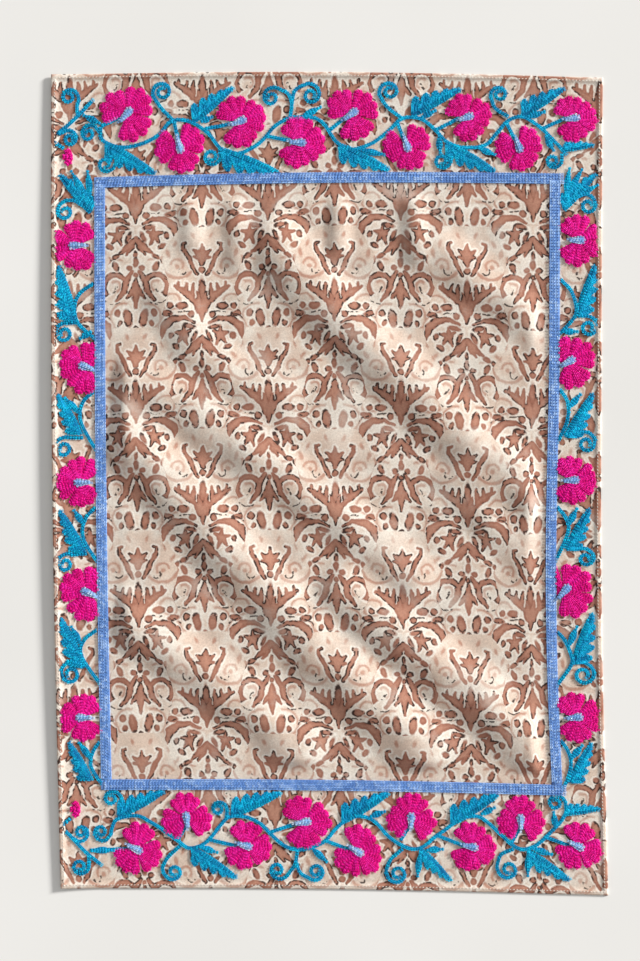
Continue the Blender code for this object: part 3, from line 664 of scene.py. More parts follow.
FAINT = (
    Arc(24, 66, 17, 1.5, -70, 0.0), Arc(25, 62, 6.2, 1.2, 110, -0.3), Oval(25, 61, 2.2, 2.2, 0),
    Oval(34, 74, 2.0, 4.4, -15), Oval(27, 84, 1.7, 3.4, 20), Arc(20.5, -59.5, 5.2, 1.4, 150, -0.2),
    Arc(12, -90, 13.2, 1.1, 20, 0.1), Arc(22, -4, 22.5, 1.2, 30, 0.3), Arc(30, 24, 9.0, 1.0, 60, -0.3),
    Oval(11, 4.8, 6.4, 1.4, 22), Arc(0, -90, 21, 1.0, -90, 0.5), Oval(0, 49, 1.6, 2.6, 0),
    Stroke(13, -33, 22, -31, 0.9, 1.4), Oval(31, -27, 1.6, 3.0, 40), Oval(9, 92, 1.6, 3.2, -25),
)
LINES = (
    Stroke(12.6, 15.8, 23, 15, 0.45, 0.6), Arc(30, -3, 16.4, 0.5, 15, 0.35), Oval(0, -24, 1.3, 1.3, 0),
    Arc(19, 57, 3.8, 0.6, -60, -0.2), Arc(21.3, -63, 14.2, 0.5, -30, 0.1), Stroke(19, -60, 22, -65, 0.9, 0.9),
)
# The ground round the tulip is washed a little darker.
ROUND_TULIP = Oval(0, 72, 33, 27, 0)
# Cream cuts between the spear and its wings.
CUTS = (Stroke(6.4, 29, 5.8, 46, 1.1, 1.5),)
# Half the width of the figure's own ground at each height, as shares of the repeat: the half-drop neighbour
# has the rest.
GROUND_EDGE = (
    (0.0, 22), (0.103, 29), (0.202, 34), (0.351, 25), (0.5, 44), (0.599, 41), (0.674, 33.5),
    (0.808, 41), (0.897, 28), (1.0, 22),
)
print("marks in the figure:", len(FIGURE) + len(FAINT) + len(LINES))

# %% The print's nodes


def mark_distance(start, place, mark):
    """Distance from a place to a mark's edge, less than 0 inside, in print units."""
    if isinstance(mark, Oval) and mark.across == mark.along:
        return start.vector("DISTANCE", place, (mark.x, mark.y, 0), output="Value") - mark.across
    if isinstance(mark, Oval):
        settings = {"vector_type": "TEXTURE"}
        sizes = {
            "Vector": place, "Location": (mark.x, mark.y, 0),
            "Rotation": (0, 0, math.radians(mark.turn)), "Scale": (mark.across, mark.along, 1),
        }
        share = start.vector("LENGTH", start.node("ShaderNodeMapping", settings, sizes), output="Value")
        return (share - 1) * min(mark.across, mark.along)
    if isinstance(mark, Stroke):
        way = Vector((mark.x1 - mark.x0, mark.y1 - mark.y0, 0))
        from_start = start.vector("SUBTRACT", place, (mark.x0, mark.y0, 0))
        dot = start.vector("DOT_PRODUCT", from_start, tuple(way / way.length_squared), output="Value")
        run = dot.between(0, 1)
        nearest = start.vector("SCALE", tuple(way))
        start.tree.links.new(run.socket, nearest.socket.node.inputs["Scale"])
        away = start.vector("DISTANCE", from_start, nearest, output="Value")
        return away - start.maths("MULTIPLY_ADD", run, mark.end - mark.start, mark.start)
    round_middle = start.vector("SUBTRACT", place, (mark.x, mark.y, 0))
    ring = abs(start.vector("LENGTH", round_middle, output="Value") - mark.radius) - mark.half
    if mark.reach < -1:
        return ring
    toward = (math.cos(math.radians(mark.toward)), math.sin(math.radians(mark.toward)), 0)
    behind = mark.reach * mark.radius - start.vector("DOT_PRODUCT", round_middle, toward, output="Value")
    return ring.most(behind)


def nearest_mark(start, place, marks):
    distance = mark_distance(start, place, marks[0])
    for mark in marks[1:]:
        distance = distance.least(mark_distance(start, place, mark))
    return distance


def print_place(start, flat):
    """Where a flat place falls in the figure: how far from its upright axis, and how high."""
    units = start.vector("SCALE", start.vector("SUBTRACT", flat, (*PRINT_START, 0)))
    units.socket.node.inputs["Scale"].default_value = 1 / PRINT_UNIT
    parts = start.node("ShaderNodeSeparateXYZ", {}, {"Vector": units})
    across = Wire(start.tree, parts.socket.node.outputs["X"])
    up = Wire(start.tree, parts.socket.node.outputs["Y"])
    places = []
    for drop in (0.0, 0.5):
        x = abs((across / REPEAT_WIDTH + 0.5 + drop).fraction() - 0.5) * REPEAT_WIDTH
        y = (up / REPEAT_HEIGHT + 0.5 + drop).fraction()
        places.append((x, y))
    (own_x, own_y), (next_x, next_y) = places
    ramp = start.tree.nodes.new("ShaderNodeValToRGB")
    stops = ramp.color_ramp.elements
    while len(stops) < len(GROUND_EDGE):
        stops.new(0.5)
    for stop, (height, half) in zip(stops, GROUND_EDGE):
        stop.position = height
        stop.color = (half / 50, half / 50, half / 50, 1)
    start.tree.links.new(own_y.socket, ramp.inputs["Fac"])
    edge = Wire(start.tree, ramp.outputs["Color"]) * 50
    is_own = (edge - own_x).between(-0.1, 0.1)
    x = next_x + (own_x - next_x) * is_own
    y = (next_y + (own_y - next_y) * is_own - 0.5) * REPEAT_HEIGHT
    return start.node("ShaderNodeCombineXYZ", {}, {"X": x, "Y": y})


# %% The cloth's material
CREAM = (0.80, 0.735, 0.655, 1)
WARM = (0.72, 0.58, 0.48, 1)
BROWN = (0.30, 0.115, 0.075, 1)
BROWN_LIGHT = (0.47, 0.235, 0.165, 1)
HALO = (0.86, 0.81, 0.74, 1)
TINT = (0.66, 0.51, 0.42, 1)
INK = (0.035, 0.018, 0.015, 1)
WEAVE_PITCH = 0.62 * MM
INK_SPREAD = 0.3


def cloth_material():
    material, shader, start = new_material("cotton_print", 0.9)
    flat = start.node("ShaderNodeUVMap", {"uv_map": "Flat"}, {})
    back_side = start.node("ShaderNodeAttribute", {"attribute_name": "back"}, {}, "Fac")

    def noise(scale, detail=2.0, output="Fac"):
        settings = {"noise_dimensions": "2D"}
        return start.node("ShaderNodeTexNoise", settings, {"Vector": flat, "Scale": scale, "Detail": detail}, output)

    wander = start.vector("SUBTRACT", noise(170.0, 3.0, "Color"), (0.5, 0.5, 0.5))
    pushed = start.vector("SCALE", wander)
    pushed.socket.node.inputs["Scale"].default_value = 2.6 * MM
    place = print_place(start, start.vector("ADD", flat, pushed))
    figure = nearest_mark(start, place, FIGURE).most(nearest_mark(start, place, CUTS) * -1) - INK_SPREAD
    faint = nearest_mark(start, place, FAINT)
    lines = nearest_mark(start, place, LINES)

    patchy = noise(90.0, 4.0)
    grainy = noise(900.0, 2.0)
    wash = noise(26.0, 3.0)
    ground = (wash * 0.6 + patchy * 0.5).between(0.44, 0.64).mix(CREAM, WARM)
    round_tulip = mark_distance(start, place, ROUND_TULIP).between(5, -13)
    ground = (round_tulip * (0.3 + patchy * 0.6)).mix(ground, TINT)
    halo = figure.between(-0.2, 0.9) * figure.between(3.0, 1.6)
    ground = (halo * 0.72).mix(ground, HALO)
    soft = faint.between(0.9, -0.7) * figure.between(0.4, 1.6)
    ground = (soft * (wash * 0.9 + 0.25)).mix(ground, BROWN_LIGHT)
    strength = (wash * 1.3 + patchy * 0.5 + grainy * 0.35 - 0.15).between(0.30, 0.85) * 0.72 + 0.28
    middle = figure.between(-0.6, -3.2) * 0.45 + patchy * 0.9 - 0.32
    body = middle.between(0.0, 0.62).mix(BROWN, BROWN_LIGHT)
    printed = (figure.between(0.9, -0.3) * strength).mix(ground, body)
    broken = noise(230.0, 1.0).between(0.47, 0.51) * noise(50.0, 0.0).between(0.36, 0.48)
    outline = abs(figure + 0.2).between(1.05, 0.45) * broken
    inked = outline.most(lines.between(0.6, -0.1) * noise(300.0, 1.0).between(0.44, 0.5))
    printed = (inked * 0.93).mix(printed, INK)
    printed = (back_side * 0.72).mix(printed, CREAM)

    parts = start.node("ShaderNodeSeparateXYZ", {}, {"Vector": flat})
    warp = (Wire(start.tree, parts.socket.node.outputs["X"]) * (2 * math.pi / WEAVE_PITCH)).sine()
    weft = (Wire(start.tree, parts.socket.node.outputs["Y"]) * (2 * math.pi / WEAVE_PITCH)).sine()
    weave = warp * weft
    slub = noise(520.0, 2.0)
    speckle = (grainy * 0.5 + weave * 0.1 + slub * 0.5).between(0.32, 0.68)
    fibres = speckle.mix((0.84, 0.83, 0.82, 1), (1.08, 1.08, 1.08, 1))
    blend = {"data_type": "RGBA", "blend_type": "MULTIPLY", "clamp_factor": True}
    colour = start.node("ShaderNodeMix", blend, {0: 1.0, 6: printed, 7: fibres}, 2)
    height = weave * 0.35 + slub * 0.8 + grainy * 0.3
    bump = start.node("ShaderNodeBump", {}, {"Strength": 0.5, "Distance": 0.00025, "Height": height})
    feed(colour, shader, "Base Color")
    feed(0.84 + grainy * 0.12, shader, "Roughness")
    feed(bump, shader, "Normal")
    shader.inputs["Sheen Weight"].default_value = 0.06
    shader.inputs["Sheen Roughness"].default_value = 0.6
    shader.inputs["Specular IOR Level"].default_value = 0.25
    print("nodes in the print:", len(material.node_tree.nodes))
    return material


cloth.data.materials.append(cloth_material())
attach(cloth, "root")
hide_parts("cloth")

# %% [markdown]
# ## Blossoms
# A blossom has three fans of four rounded scallops round its heart, with a gap for the stem. The maker fills
# each scallop with loops of chain that run out along one side, round its end and back. So each scallop is three
# guide lines, one inside the other. Under them lies a thin pad of the same thread, so that no cloth shows
# between the rows. The heart is a drop of pale blue rows on top.

# %% Where the blossoms are
Blossom = namedtuple("Blossom", "name across along width turn")
BLOSSOMS = (
    Blossom("flower_top_1", -175, 321, 47, 45),
    Blossom("flower_top_2", -129, 292, 44, -75),
    Blossom("flower_top_3", -76, 313, 45, 20),
    Blossom("flower_top_4", -24, 294, 45, -5),
    Blossom("flower_top_5", 22, 319, 47, 35),
    Blossom("flower_top_6", 70, 291, 43, -70),
    Blossom("flower_top_7", 123, 317, 42, 20),
    Blossom("flower_top_8", 168, 291, 42, -70),
    Blossom("flower_top_9", 216, 318, 42, 10),
    Blossom("flower_left_1", -220, 207, 46, 180),
    Blossom("flower_left_2", -212, 100, 46, 160),
    Blossom("flower_left_3", -217, -1, 43, 180),
    Blossom("flower_left_4", -212, -97, 48, 155),
    Blossom("flower_left_5", -219, -206, 42, 178),
    Blossom("flower_right_1", 221, 212, 43, 0),
    Blossom("flower_right_2", 213, 108, 46, 30),
    Blossom("flower_right_3", 218, 5, 42, 5),
    Blossom("flower_right_4", 212, -91, 48, 50),
    Blossom("flower_right_5", 219, -201, 43, 8),
    Blossom("flower_bottom_1", -174, -321, 45, -25),
    Blossom("flower_bottom_2", -129, -294, 43, 95),
    Blossom("flower_bottom_3", -77, -318, 43, -15),
    Blossom("flower_bottom_4", -25, -297, 46, 10),
    Blossom("flower_bottom_5", 21, -322, 45, -30),
    Blossom("flower_bottom_6", 69, -293, 43, 85),
    Blossom("flower_bottom_7", 122, -316, 43, -10),
    Blossom("flower_bottom_8", 166, -292, 42, 90),
    Blossom("flower_bottom_9", 216, -313, 42, -25),
)
BUDS = (
    Blossom("bud_top", -223, 286, 17, 180),
    Blossom("bud_bottom", -223, -286, 17, 180),
)
SIDES = ("top", "bottom", "left", "right")
FAN_TURNS = (-106, 0, 106)
BLOSSOM_GROW = 1.03
SCALLOP_PITCH = 24.2
SCALLOP_REACH = (0.93, 1.0, 1.0, 0.93)
SCALLOP_FOOT = 0.12
BUD_TURNS = (-50, 0, 50)
STITCH_LIMIT = 5.3 * MM
BAND_EDGE = BAND_WIDTH / 2 + 0.3 * MM
border_left, border_right = -WIDTH / 2 + BAND_FROM_LEFT - BAND_EDGE, WIDTH / 2 - BAND_FROM_RIGHT + BAND_EDGE
border_low, border_high = -LENGTH / 2 + BAND_FROM_BOTTOM - BAND_EDGE, LENGTH / 2 - BAND_FROM_TOP + BAND_EDGE


def kept_parts(line, least=3):
    """The parts of a guide line that lie in the border, between the hem and the band."""
    u, v = line[:, 0], line[:, 1]
    keep = (np.abs(u) < WIDTH / 2 - STITCH_LIMIT) & (np.abs(v) < LENGTH / 2 - STITCH_LIMIT)
    keep &= (u < border_left) | (u > border_right) | (v < border_low) | (v > border_high)
    parts, run = [], []
    for place, is_kept in zip(line, keep):
        if is_kept:
            run.append(place)
        else:
            parts.append(run)
            run = []
    parts.append(run)
    return [np.array(part) for part in parts if len(part) >= least]


def drawn_in(places):
    """Places moved, where they must be, to stay between the hem and the band."""
    moved = np.clip(places, (-WIDTH / 2 + STITCH_LIMIT, -LENGTH / 2 + STITCH_LIMIT),
                    (WIDTH / 2 - STITCH_LIMIT, LENGTH / 2 - STITCH_LIMIT))
    u, v = moved[:, 0], moved[:, 1]
    inward = np.stack([u - border_left, border_right - u, v - border_low, border_high - v])
    nearest = np.where(inward.min(axis=0) > 0, inward.argmin(axis=0), -1)
    for side, (axis, edge) in enumerate(((0, border_left), (0, border_right), (1, border_low), (1, border_high))):
        moved[nearest == side, axis] = edge
    return moved


print("blossoms:", len(BLOSSOMS), "and", len(BUDS), "buds")

# %% Pads under the stitches
PAD_RINGS = (1.0, 0.8, 0.42, 0.0)
PAD_LOW = 0.12 * MM
PAD_SUNK = -0.15 * MM
# Pads get a low shade and no crest, so they are painted dark: painted shade in the hollows between the rows.
PAD_PAINTED_SHADE = 0.1
STITCH_SINK = 0.32 * MM


def pad_height(share, height):
    """Height of a pad's surface at a share of the way from its spine to its outline."""
    return PAD_LOW + (height - PAD_LOW) * np.sqrt(np.clip(1 - np.square(share), 0, 1))


def new_pads():
    bm = bmesh.new()
    # The crest layer stays 0 on pads: no painted highlight there.
    for label in ("stitch_shade", "crest"):
        bm.verts.layers.float.new(label)
    return bm


def add_ring(bm, places, above):
    """A row of corners at a height over the cloth, in a pad's low shade: painted shade for the hollows between rows."""
    shade = bm.verts.layers.float["stitch_shade"]
    corners = [bm.verts.new(p) for p in on_cloth(places[:, 0], places[:, 1], above)]
    for corner in corners:
        corner[shade] = PAD_PAINTED_SHADE
    return corners


def bridge(bm, first, second, closed=True):
    for k in range(len(first) - (0 if closed else 1)):
        n = (k + 1) % len(first)
        bm.faces.new((first[k], first[n], second[n], second[k]))


def add_pad(bm, outline, spine, height):
    """A rounded pad: its rings draw in from the outline to the spine as they rise."""
    outline, spine = np.asarray(outline), np.asarray(spine)
    before = add_ring(bm, drawn_in(outline), PAD_SUNK)
    floor = bm.faces.new(before[::-1])
    for share in PAD_RINGS:
        places = drawn_in(spine + (outline - spine) * share)
        ring = add_ring(bm, places, pad_height(share, height))
        bridge(bm, before, ring)
        before = ring
    bmesh.ops.triangulate(bm, faces=[floor])


STRIP_SHAPE = ((-1, -0.2), (-1, 0.25), (-0.7, 0.85), (0, 1), (0.7, 0.85), (1, 0.25), (1, -0.2))


def add_strip(bm, path, half_width, height):
    """A long rounded pad that follows a path."""
    before = None
    for share, rise_share in STRIP_SHAPE:
        line = add_ring(bm, beside(path, -share * half_width), rise_share * height)
        if before:
            bridge(bm, before, line, closed=False)
        else:
            first = line
        before = line
    bridge(bm, before, first, closed=False)


def finish_pads(name, bm, material):
    bmesh.ops.remove_doubles(bm, verts=bm.verts, dist=1e-6)
    bmesh.ops.recalc_face_normals(bm, faces=bm.faces)
    mesh = bpy.data.meshes.new(name)
    bm.to_mesh(mesh)
    bm.free()
    mesh.shade_smooth()
    mesh.materials.append(material)
    obj = bpy.data.objects.new(name, mesh)
    scene.collection.objects.link(obj)
    return obj


def beside(path, away):
    """The path moved sideways, to its left where away is greater than 0."""
    way = np.gradient(path, axis=0)
    way = way / np.maximum(np.hypot(way[:, 0], way[:, 1])[:, None], 1e-9)
    return path + np.stack([-way[:, 1], way[:, 0]], axis=-1) * away


def join(name, objects):
    """One object from several, under a new name."""
    with bpy.context.temp_override(active_object=objects[0], selected_editable_objects=objects):
        bpy.ops.object.join()
    objects[0].name = name
    objects[0].data.name = name
    return objects[0]


def with_height(line, above):
    return np.column_stack([line, np.broadcast_to(above, len(line))])

# %% Shape of a blossom
SCALLOP_UP = 1.25 * MM
HEART_UP = 2.3 * MM
HEART_HALF = 3.5 * MM
HEART_END, HEART_FOOT = 0.26, -0.4
ROW_INSET, ROW_STEP = 0.8 * MM, 1.8 * MM


def turned(flower, turn, points):
    """Points along and beside a way that leaves the blossom's middle at a turn, as flat places."""
    angle = math.radians(flower.turn + turn)
    c, s = math.cos(angle), math.sin(angle)
    along, side = points[:, 0], points[:, 1]
    u = flower.across * MM + along * c - side * s
    v = flower.along * MM + along * s + side * c
    return np.stack([u, v], axis=-1)


def finger(foot, foot_half, middle, half, count=6):
    """Half the outline of a rounded finger: out along one side and round the end to the other."""
    out = np.linspace(foot, middle, count)
    sides = foot_half + (half - foot_half) * (out - foot) / (middle - foot)
    turn = np.linspace(-math.pi / 2, math.pi / 2, 7)[1:-1]
    along = np.concatenate([out, middle + half * np.cos(turn), out[::-1]])
    side = np.concatenate([-sides, half * np.sin(turn), sides[::-1]])
    outline = np.stack([along, side], axis=-1)
    spine = np.stack([np.minimum(along, middle), 0 * side], axis=-1)
    return outline, spine


def add_finger(bm, rows, flower, turn, shape, height):
    """A padded finger and the loops of rows that fill it, from the outermost in."""
    foot, foot_half, middle, half = shape
    outline, spine = finger(*shape)
    add_pad(bm, turned(flower, turn, outline), turned(flower, turn, spine), height)
    side = half - ROW_INSET
    number = 0
    while side > 0.5 * ROW_STEP:
        start = max(foot, middle * (0.62 - 0.28 * number))
        narrow = foot_half * 0.6 + (side - foot_half * 0.6) * (start - foot) / (middle - foot)
        line, own_spine = finger(start, max(narrow, 0.3 * MM), middle, side, max(3, int((middle - start) / (1.5 * MM))))
        above = pad_height(side / half, height) - STITCH_SINK
        rows += kept_parts(with_height(turned(flower, turn, line), above))
        side -= ROW_STEP
        number += 1
    line = np.stack([np.linspace(foot, middle + side * 0.5, 8), np.zeros(8)], axis=-1)
    rows += kept_parts(with_height(turned(flower, turn, line), height - STITCH_SINK))


def add_blossom(bm, rows, flower):
    radius = flower.width / 2 * BLOSSOM_GROW * MM
    half_fan = SCALLOP_PITCH * (len(SCALLOP_REACH) - 1) / 2
    half = radius * math.sin(math.radians(SCALLOP_PITCH / 2)) * 0.93
    for fan in FAN_TURNS:
        for k, reach in enumerate(SCALLOP_REACH):
            turn = fan - half_fan + k * SCALLOP_PITCH + draw.uniform(-2, 2)
            own_half = half * draw.uniform(0.92, 1.05)
            end = radius * reach * draw.uniform(0.95, 1.04) - own_half
            add_finger(bm, rows, flower, turn, (SCALLOP_FOOT * radius, 0.3 * half, end, own_half), SCALLOP_UP)


def add_bud(bm, rows, bud):
    radius = bud.width / 2 * MM
    for turn in BUD_TURNS:
        add_finger(bm, rows, bud, turn, (0.0, 1.2 * MM, radius - 3.0 * MM, 3.0 * MM), SCALLOP_UP)


def add_heart(bm, rows, flower):
    """The drop on the blossom's middle: round at the front, narrow where the stem comes in."""
    radius = flower.width / 2 * MM
    shape = (HEART_FOOT * radius, 1.2 * MM, HEART_END * radius - HEART_HALF, HEART_HALF)
    outline, spine = finger(*shape)
    add_pad(bm, turned(flower, 0, outline), turned(flower, 0, spine), HEART_UP)
    line, own_spine = finger(shape[0], 0.7 * MM, shape[2], HEART_HALF - ROW_INSET)
    rows += kept_parts(with_height(turned(flower, 0, line), HEART_UP * 0.75 - STITCH_SINK))
    line = np.stack([np.linspace(shape[0], shape[2], 7), np.zeros(7)], axis=-1)
    rows += kept_parts(with_height(turned(flower, 0, line), HEART_UP - STITCH_SINK))

# %% Stitch the blossoms
embroidery = []
for seed, side in enumerate(SIDES):
    own = [flower for flower in BLOSSOMS if side in flower.name]
    buds = [bud for bud in BUDS if side in bud.name]
    pads, rows = new_pads(), []
    for flower in own:
        add_blossom(pads, rows, flower)
    for bud in buds:
        add_bud(pads, rows, bud)
    stitches = stitched(f"blossom_rows_{side}", rows, threads["thread_magenta"], seed=seed)
    base = finish_pads(f"blossom_pads_{side}", pads, threads["thread_magenta"])
    piece = join(f"blossoms_{side}", [stitches, base])
    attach(piece, "root")
    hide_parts(*[flower.name for flower in own + buds])
    pads, rows = new_pads(), []
    for flower in own:
        add_heart(pads, rows, flower)
    stitches = stitched(f"heart_rows_{side}", rows, threads["thread_sky"], seed=seed + 10)
    base = finish_pads(f"heart_pads_{side}", pads, threads["thread_sky"])
    hearts = join(f"hearts_{side}", [stitches, base])
    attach(hearts, "root")
    embroidery += [piece, hearts]
    print(piece.name, triangles(piece), "triangles,", hearts.name, triangles(hearts))

# %% [markdown]
# ## Vine, leaves and curls
# The vine is a double row of chain that swings between the blossoms. Its leaves are long, plain on one side
# and lobed on the other, filled with rows that follow the leaf. Small leaves are short drops, and the curls are
# spirals that the maker runs off the vine. All of them are guide lines again: the routes are points given on
# the flat towel, made smooth, and doubled sideways.

# %% Routes of the vine
Leaf = namedtuple("Leaf", "foot tip side")
Curl = namedtuple("Curl", "route middle radius way")

VINES = {
    "top": (
        ((-198, 311), (-198, 302), (-191, 296), (-178, 293), (-161, 296), (-147, 303), (-138, 313),
         (-128, 315), (-117, 312), (-104, 303), (-95, 292), (-87, 286), (-75, 286), (-62, 292), (-54, 299),
         (-46, 308), (-34, 315), (-23, 316), (-10, 315), (-1, 308), (8, 295), (21, 288), (39, 293),
         (54, 304), (66, 315), (82, 315), (95, 305), (105, 295), (119, 290), (138, 292), (148, 302),
         (157, 313), (166, 318), (175, 317), (188, 308), (200, 296), (209, 286)),
        ((-230, 293), (-238, 299), (-236, 305), (-226, 313), (-216, 322), (-206, 332)),
        ((-198, 311), (-184, 317)), ((-134, 314), (-131, 301)), ((-107, 307), (-89, 310)),
        ((-53, 300), (-38, 297)), ((3, 305), (14, 314)), ((62, 311), (66, 300)), ((95, 305), (112, 314)),
        ((157, 313), (163, 301)), ((189, 308), (205, 316)),
    ),
    "bottom": (
        ((-231, -294), (-238, -301), (-230, -311), (-218, -324), (-206, -334)),
        ((-196, -309), (-195, -303), (-190, -295), (-173, -292), (-160, -298), (-148, -306), (-137, -314),
         (-128, -320), (-117, -318), (-108, -311), (-99, -300), (-91, -293), (-77, -293), (-64, -299),
         (-55, -308), (-43, -318), (-31, -321), (-19, -319), (-7, -313), (3, -302), (15, -293), (28, -292),
         (38, -297), (48, -308), (58, -315), (69, -319), (79, -317), (90, -308), (100, -301), (110, -293),
         (120, -290), (129, -290), (138, -296), (147, -304), (157, -313), (165, -317), (173, -316),
         (181, -312), (190, -304), (201, -293), (207, -284)),
        ((-215, -322), (-186, -321)), ((-137, -313), (-131, -303)), ((-109, -313), (-91, -317)),
        ((-55, -306), (-40, -301)), ((-7, -313), (12, -320)), ((59, -312), (65, -303)), ((92, -307), (111, -314)),
        ((157, -312), (163, -302)), ((188, -306), (206, -312)),
    ),
    "left": (
        ((-202, 174), (-216, 164), (-221, 152), (-218, 138), (-202, 123)),
        ((-202, 80), (-214, 69), (-216, 52), (-202, 25)),
        ((-202, -21), (-213, -33), (-215, -50), (-202, -72)),
        ((-202, -128), (-216, -139), (-218, -153), (-202, -178)),
        ((-202, -225), (-210, -236), (-212, -249), (-202, -266)),
    ),
    "right": (
        ((203, 181), (214, 170), (219, 156), (217, 146), (203, 130)),
        ((203, 86), (212, 73), (212, 56), (203, 35)),
        ((203, -16), (213, -29), (214, -42), (203, -68)),
        ((203, -125), (211, -134), (216, -146), (216, -156), (203, -175)),
        ((203, -219), (210, -229), (213, -241), (209, -256), (203, -266)),
    ),
}
LEAVES = {
    "top": (
        Leaf((-194, 298), (-150, 270), -1), Leaf((-117, 312), (-82, 342), 1), Leaf((-93, 290), (-40, 267), -1),
        Leaf((10, 293), (55, 270), -1), Leaf((74, 317), (117, 342), 1), Leaf((104, 295), (148, 269), -1),
        Leaf((171, 318), (208, 345), 1), Leaf((206, 288), (234, 294), 1),
    ),
    "bottom": (
        Leaf((-190, -294), (-148, -271), 1), Leaf((-90, -293), (-45, -272), 1), Leaf((8, -298), (50, -271), 1),
        Leaf((104, -298), (147, -270), 1), Leaf((-125, -319), (-86, -346), -1), Leaf((77, -318), (103, -346), -1),
        Leaf((171, -317), (208, -343), -1), Leaf((206, -286), (236, -280), 1),
    ),
    "left": (
        Leaf((-207, 236), (-234, 271), -1), Leaf((-219, 138), (-235, 189), 1), Leaf((-215, 41), (-236, 77), 1),
        Leaf((-213, -62), (-235, -25), 1), Leaf((-215, -163), (-236, -118), 1), Leaf((-211, -261), (-231, -227), 1),
    ),
    "right": (
        Leaf((208, 236), (236, 268), 1), Leaf((219, 148), (235, 192), -1), Leaf((210, 42), (234, 81), -1),
        Leaf((212, -55), (232, -19), -1), Leaf((217, -155), (234, -110), -1), Leaf((210, -258), (231, -223), -1),
    ),
}
SMALL_LEAVES = {
    "top": (
        ((-198, 313), (-210, 319)), ((-111, 313), (-103, 316)), ((-23, 316), (-9, 323)), ((28, 288), (46, 284)),
        ((82, 316), (92, 321)), ((98, 301), (99, 288)), ((132, 290), (144, 285)), ((175, 318), (187, 322)),
        ((191, 302), (197, 291)),
    ),
    "bottom": (
        ((-215, -322), (-198, -322)), ((-119, -319), (-106, -323)), ((-20, -319), (-9, -329)),
        ((32, -292), (43, -288)), ((81, -320), (93, -319)), ((76, -323), (74, -339)), ((130, -288), (140, -283)),
        ((172, -318), (171, -336)), ((175, -316), (189, -320)), ((197, -299), (196, -287)),
    ),
    "left": (
        ((-208, 246), (-221, 269)), ((-207, 250), (-209, 269)), ((-206, 131), (-214, 126)), ((-216, 58), (-227, 70)), ((-214, -39), (-221, -28)),
        ((-218, -144), (-225, -130)), ((-211, -244), (-220, -231)),
    ),
    "right": (
        ((209, 246), (221, 267)), ((209, 248), (212, 268)), ((213, 245), (233, 256)),
        ((206, 134), (217, 134)), ((213, 67), (221, 77)), ((214, -36), (220, -23)),
        ((214, -141), (220, -126)), ((213, -238), (221, -228)),
    ),
}
CURLS = {
    "top": (
        Curl(((-218, 320), (-219, 328)), (-226, 336), 7, 1), Curl(((-235, 305), (-228, 308)), (-225, 301), 6, -1),
        Curl(((-199, 306), (-203, 311)), (-209, 305), 6, 1),
        Curl(((-134, 314), (-145, 325), (-152, 335)), (-144, 339), 8, -1),
        Curl(((-187, 294), (-186, 287)), (-194, 279), 7, -1), Curl(((-94, 290), (-93, 283)), (-101, 283), 7, -1),
        Curl(((-32, 316), (-31, 327), (-34, 336), (-43, 341)), (-49, 333), 7, 1),
        Curl(((-31, 327), (-28, 339), (-18, 345)), (-14, 335), 8, -1),
        Curl(((66, 315), (53, 325), (46, 335)), (55, 339), 8, -1), Curl(((107, 290), (108, 283)), (101, 278), 7, -1),
        Curl(((159, 318), (148, 325), (144, 333)), (151, 338), 7, -1),
        Curl(((206, 286), (206, 280)), (198, 279), 6, -1),
    ),
    "bottom": (
        Curl(((-230, -311), (-225, -314)), (-222, -306), 6, 1), Curl(((-216, -326), (-216, -334)), (-224, -336), 7, -1),
        Curl(((-196, -308), (-200, -313)), (-205, -306), 6, -1), Curl(((-184, -292), (-186, -284)), (-195, -277), 7, 1),
        Curl(((-134, -317), (-146, -328), (-151, -336)), (-141, -341), 7, 1),
        Curl(((-94, -294), (-93, -288)), (-101, -286), 6, 1),
        Curl(((-32, -321), (-34, -333), (-40, -342)), (-50, -339), 7, -1),
        Curl(((-34, -330), (-30, -341), (-22, -346)), (-16, -340), 7, 1),
        Curl(((61, -319), (50, -329), (46, -338)), (56, -341), 8, 1),
        Curl(((159, -317), (148, -322), (144, -331)), (154, -335), 8, 1),
        Curl(((207, -286), (207, -279)), (198, -276), 7, 1),
    ),
    "left": (
        Curl(((-207, 240), (-215, 244)), (-229, 238), 8, 1), Curl(((-217, 139), (-226, 138)), (-230, 129), 8, 1),
        Curl(((-214, 38), (-225, 38)), (-231, 29), 8, 1), Curl(((-212, -63), (-224, -64)), (-231, -72), 7, 1),
        Curl(((-215, -160), (-225, -157)), (-228, -168), 9, 1),
    ),
    "right": (
        Curl(((208, 240), (217, 246)), (229, 241), 8, -1), Curl(((220, 148), (228, 148)), (230, 138), 8, -1),
        Curl(((210, 44), (223, 47)), (229, 37), 8, -1), Curl(((213, -55), (222, -55)), (229, -63), 7, -1),
        Curl(((217, -154), (225, -153)), (226, -164), 9, -1),
    ),
}
print("leaves:", sum(len(own) for own in LEAVES.values()), "curls:", sum(len(own) for own in CURLS.values()))

# %% Guide lines of the vine
GUIDE_STEP = 1.2 * MM
STEM_ROWS = (-0.8 * MM, 0.8 * MM)
STEM_HALF, STEM_UP = 1.45 * MM, 0.8 * MM
STUB_ADDED = 3.5
CURL_TURNS = 1.35
LEAF_WIDTH, LEAF_BACK = 0.285, 0.055
LEAF_LOBES = ((0.24, 1.0), (0.43, 0.88), (0.60, 0.70), (0.77, 0.48))
LEAF_UP = 1.0 * MM
LEAF_SHARES = (0.90, 0.75, 0.60, 0.45, 0.30, 0.15)
SMALL_HALF = 3.1 * MM
SMALL_LONGER = 1.15


